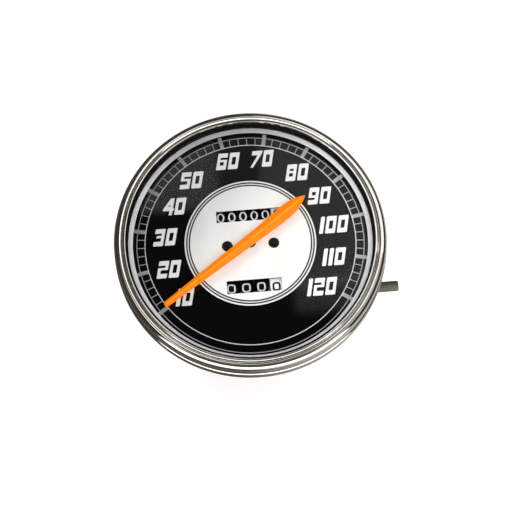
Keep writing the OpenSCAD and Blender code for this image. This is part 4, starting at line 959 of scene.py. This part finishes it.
class Sky:
    """The studio that the chrome and the glass reflect, as soft-edged fields of direction."""

    def __init__(self):
        self.world = bpy.data.worlds.new("studio")
        self.world.use_nodes = True
        self.tree = self.world.node_tree
        self.back = self.tree.nodes["Background"]
        split = self.tree.nodes.new("ShaderNodeSeparateXYZ")
        way = self.tree.nodes.new("ShaderNodeTexCoord").outputs["Generated"]
        self.tree.links.new(way, split.inputs["Vector"])
        self.turn = self.math("ARCTAN2", split.outputs["X"], split.outputs["Y"])
        self.rise = self.math("ARCSINE", split.outputs["Z"])
        self.total = None

    def math(self, kind, a, b=None, vector=False):
        node = self.tree.nodes.new("ShaderNodeVectorMath" if vector else "ShaderNodeMath")
        node.operation = kind
        for socket, value in zip(node.inputs, (a, b)):
            if isinstance(value, bpy.types.NodeSocket):
                self.tree.links.new(value, socket)
            elif value is not None:
                socket.default_value = value
        return node.outputs[0]

    def edge(self, value, start, end):
        """Rises smoothly from 0 to 1 between two angles in degrees."""
        node = self.tree.nodes.new("ShaderNodeMapRange")
        node.interpolation_type = "SMOOTHSTEP"
        node.inputs["From Min"].default_value = math.radians(start)
        node.inputs["From Max"].default_value = math.radians(end)
        self.tree.links.new(value, node.inputs["Value"])
        return node.outputs["Result"]

    def field(self, clock, half, low, high, color, soft, soft_side):
        """A field round a clock angle, between two heights over the horizon."""
        off = self.math("WRAP", self.math("SUBTRACT", self.turn, math.radians(clock)), math.pi)
        off.node.inputs[2].default_value = -math.pi
        side = self.math("ABSOLUTE", off)
        level = self.math("MULTIPLY", self.edge(side, half + soft_side, half - soft_side),
                          self.math("MULTIPLY", self.edge(self.rise, low - soft, low + soft),
                                    self.edge(self.rise, high + soft, high - soft)))
        tint = self.tree.nodes.new("ShaderNodeVectorMath")
        tint.operation = "SCALE"
        tint.inputs[0].default_value = color
        self.tree.links.new(level, tint.inputs["Scale"])
        self.total = self.math("ADD", tint.outputs[0], self.total or (0, 0, 0), True)

    def finish(self, base):
        """Adds the even base. The camera itself sees plain white behind the floor."""
        light = self.math("ADD", self.total, base, True)
        seen = self.tree.nodes.new("ShaderNodeMix")
        seen.data_type = "VECTOR"
        ray = self.tree.nodes.new("ShaderNodeLightPath")
        self.tree.links.new(ray.outputs["Is Camera Ray"], seen.inputs["Factor"])
        self.tree.links.new(light, seen.inputs[4])
        seen.inputs[5].default_value = (1, 1, 1)
        self.tree.links.new(seen.outputs[1], self.back.inputs["Color"])
        scene.world = self.world


sky = Sky()
sky.field(182, 57, 6, 54, (1.9, 1.88, 1.84), 7, 2)
sky.field(85, 45, 52, 77, (0.50, 0.46, 0.45), 7, 6)
sky.field(288, 40, 69, 77, (1.2, 1.17, 1.12), 3, 4)
sky.field(180, 180, 81, 95, (0.10, 0.10, 0.09), 4, 1)
sky.finish((0.045, 0.039, 0.031))


def softbox(name, left, right, near, far, height, color, soft):
    """A panel with soft edges over the dial, which only gloss reflects. Lengths are in millimetres."""
    mesh = bpy.data.meshes.new(name)
    z = (DIAL + height) * MM
    corners = ((left, near), (right, near), (right, far), (left, far))
    mesh.from_pydata([(x * MM, y * MM, z) for x, y in corners], [], [(0, 1, 2, 3)])
    panel = bpy.data.objects.new(name, mesh)
    scene.collection.objects.link(panel)
    glow = Surface(name, color, 1.0)
    axes = glow.axes()
    level = None
    for axis, low, high in (("X", left, right), ("Y", near, far)):
        for start, end in ((low, low + soft), (high, high - soft)):
            edge = glow.span(axes[axis], 0, 1, start * MM, end * MM)
            edge.node.interpolation_type = "SMOOTHSTEP"
            if level is None:
                level = edge
                continue
            product = glow.node("ShaderNodeMath", operation="MULTIPLY")
            glow.link(level, product.inputs[0])
            glow.link(edge, product.inputs[1])
            level = product.outputs["Value"]
    shine = glow.node("ShaderNodeEmission")
    shine.inputs["Color"].default_value = (*color, 1)
    glow.link(level, shine.inputs["Strength"])
    clear = glow.node("ShaderNodeBsdfTransparent")
    both = glow.node("ShaderNodeAddShader")
    glow.link(shine.outputs["Emission"], both.inputs[0])
    glow.link(clear.outputs["BSDF"], both.inputs[1])
    glow.link(both.outputs["Shader"], glow.tree.nodes["Material Output"].inputs["Surface"])
    mesh.materials.append(glow.material)
    panel.visible_camera = panel.visible_diffuse = panel.visible_shadow = False


softbox("softbox_left", -85, -12, 128, 192, 300, (1.1, 1.08, 1.05), 8)
softbox("softbox_right", 10, 330, 62, 240, 300, (1.0, 0.98, 0.96), 10)
softbox("softbox_corner", 26, 110, 42, 78, 297, (0.75, 0.73, 0.72), 12)
softbox("softbox_bridge", -18, 20, 142, 200, 303, (0.3, 0.29, 0.285), 6)
softbox("softbox_centre", -25, 30, 72, 120, 294, (1.1, 1.07, 1.04), 10)


def soft_light(name, place, size, power, color):
    """A square soft light, aimed at the dial, that the chrome and the camera don't show."""
    data = bpy.data.lights.new(name, "AREA")
    data.size = size
    data.energy = power
    data.color = color
    light = bpy.data.objects.new(name, data)
    way = Vector(place) * MM
    light.location = way + Vector((0, 0, DIAL * MM))
    light.rotation_euler = way.to_track_quat("Z", "Y").to_euler()
    light.visible_glossy = light.visible_camera = False
    scene.collection.objects.link(light)


soft_light("key", (-300, 560, 650), 0.5, 3.9, (1.0, 0.985, 0.975))
soft_light("low", (60, -420, 600), 0.5, 1.7, (1.0, 0.985, 0.975))
soft_light("fill", (85, 10, 170), 0.12, 0.17, (1.0, 0.97, 0.97))
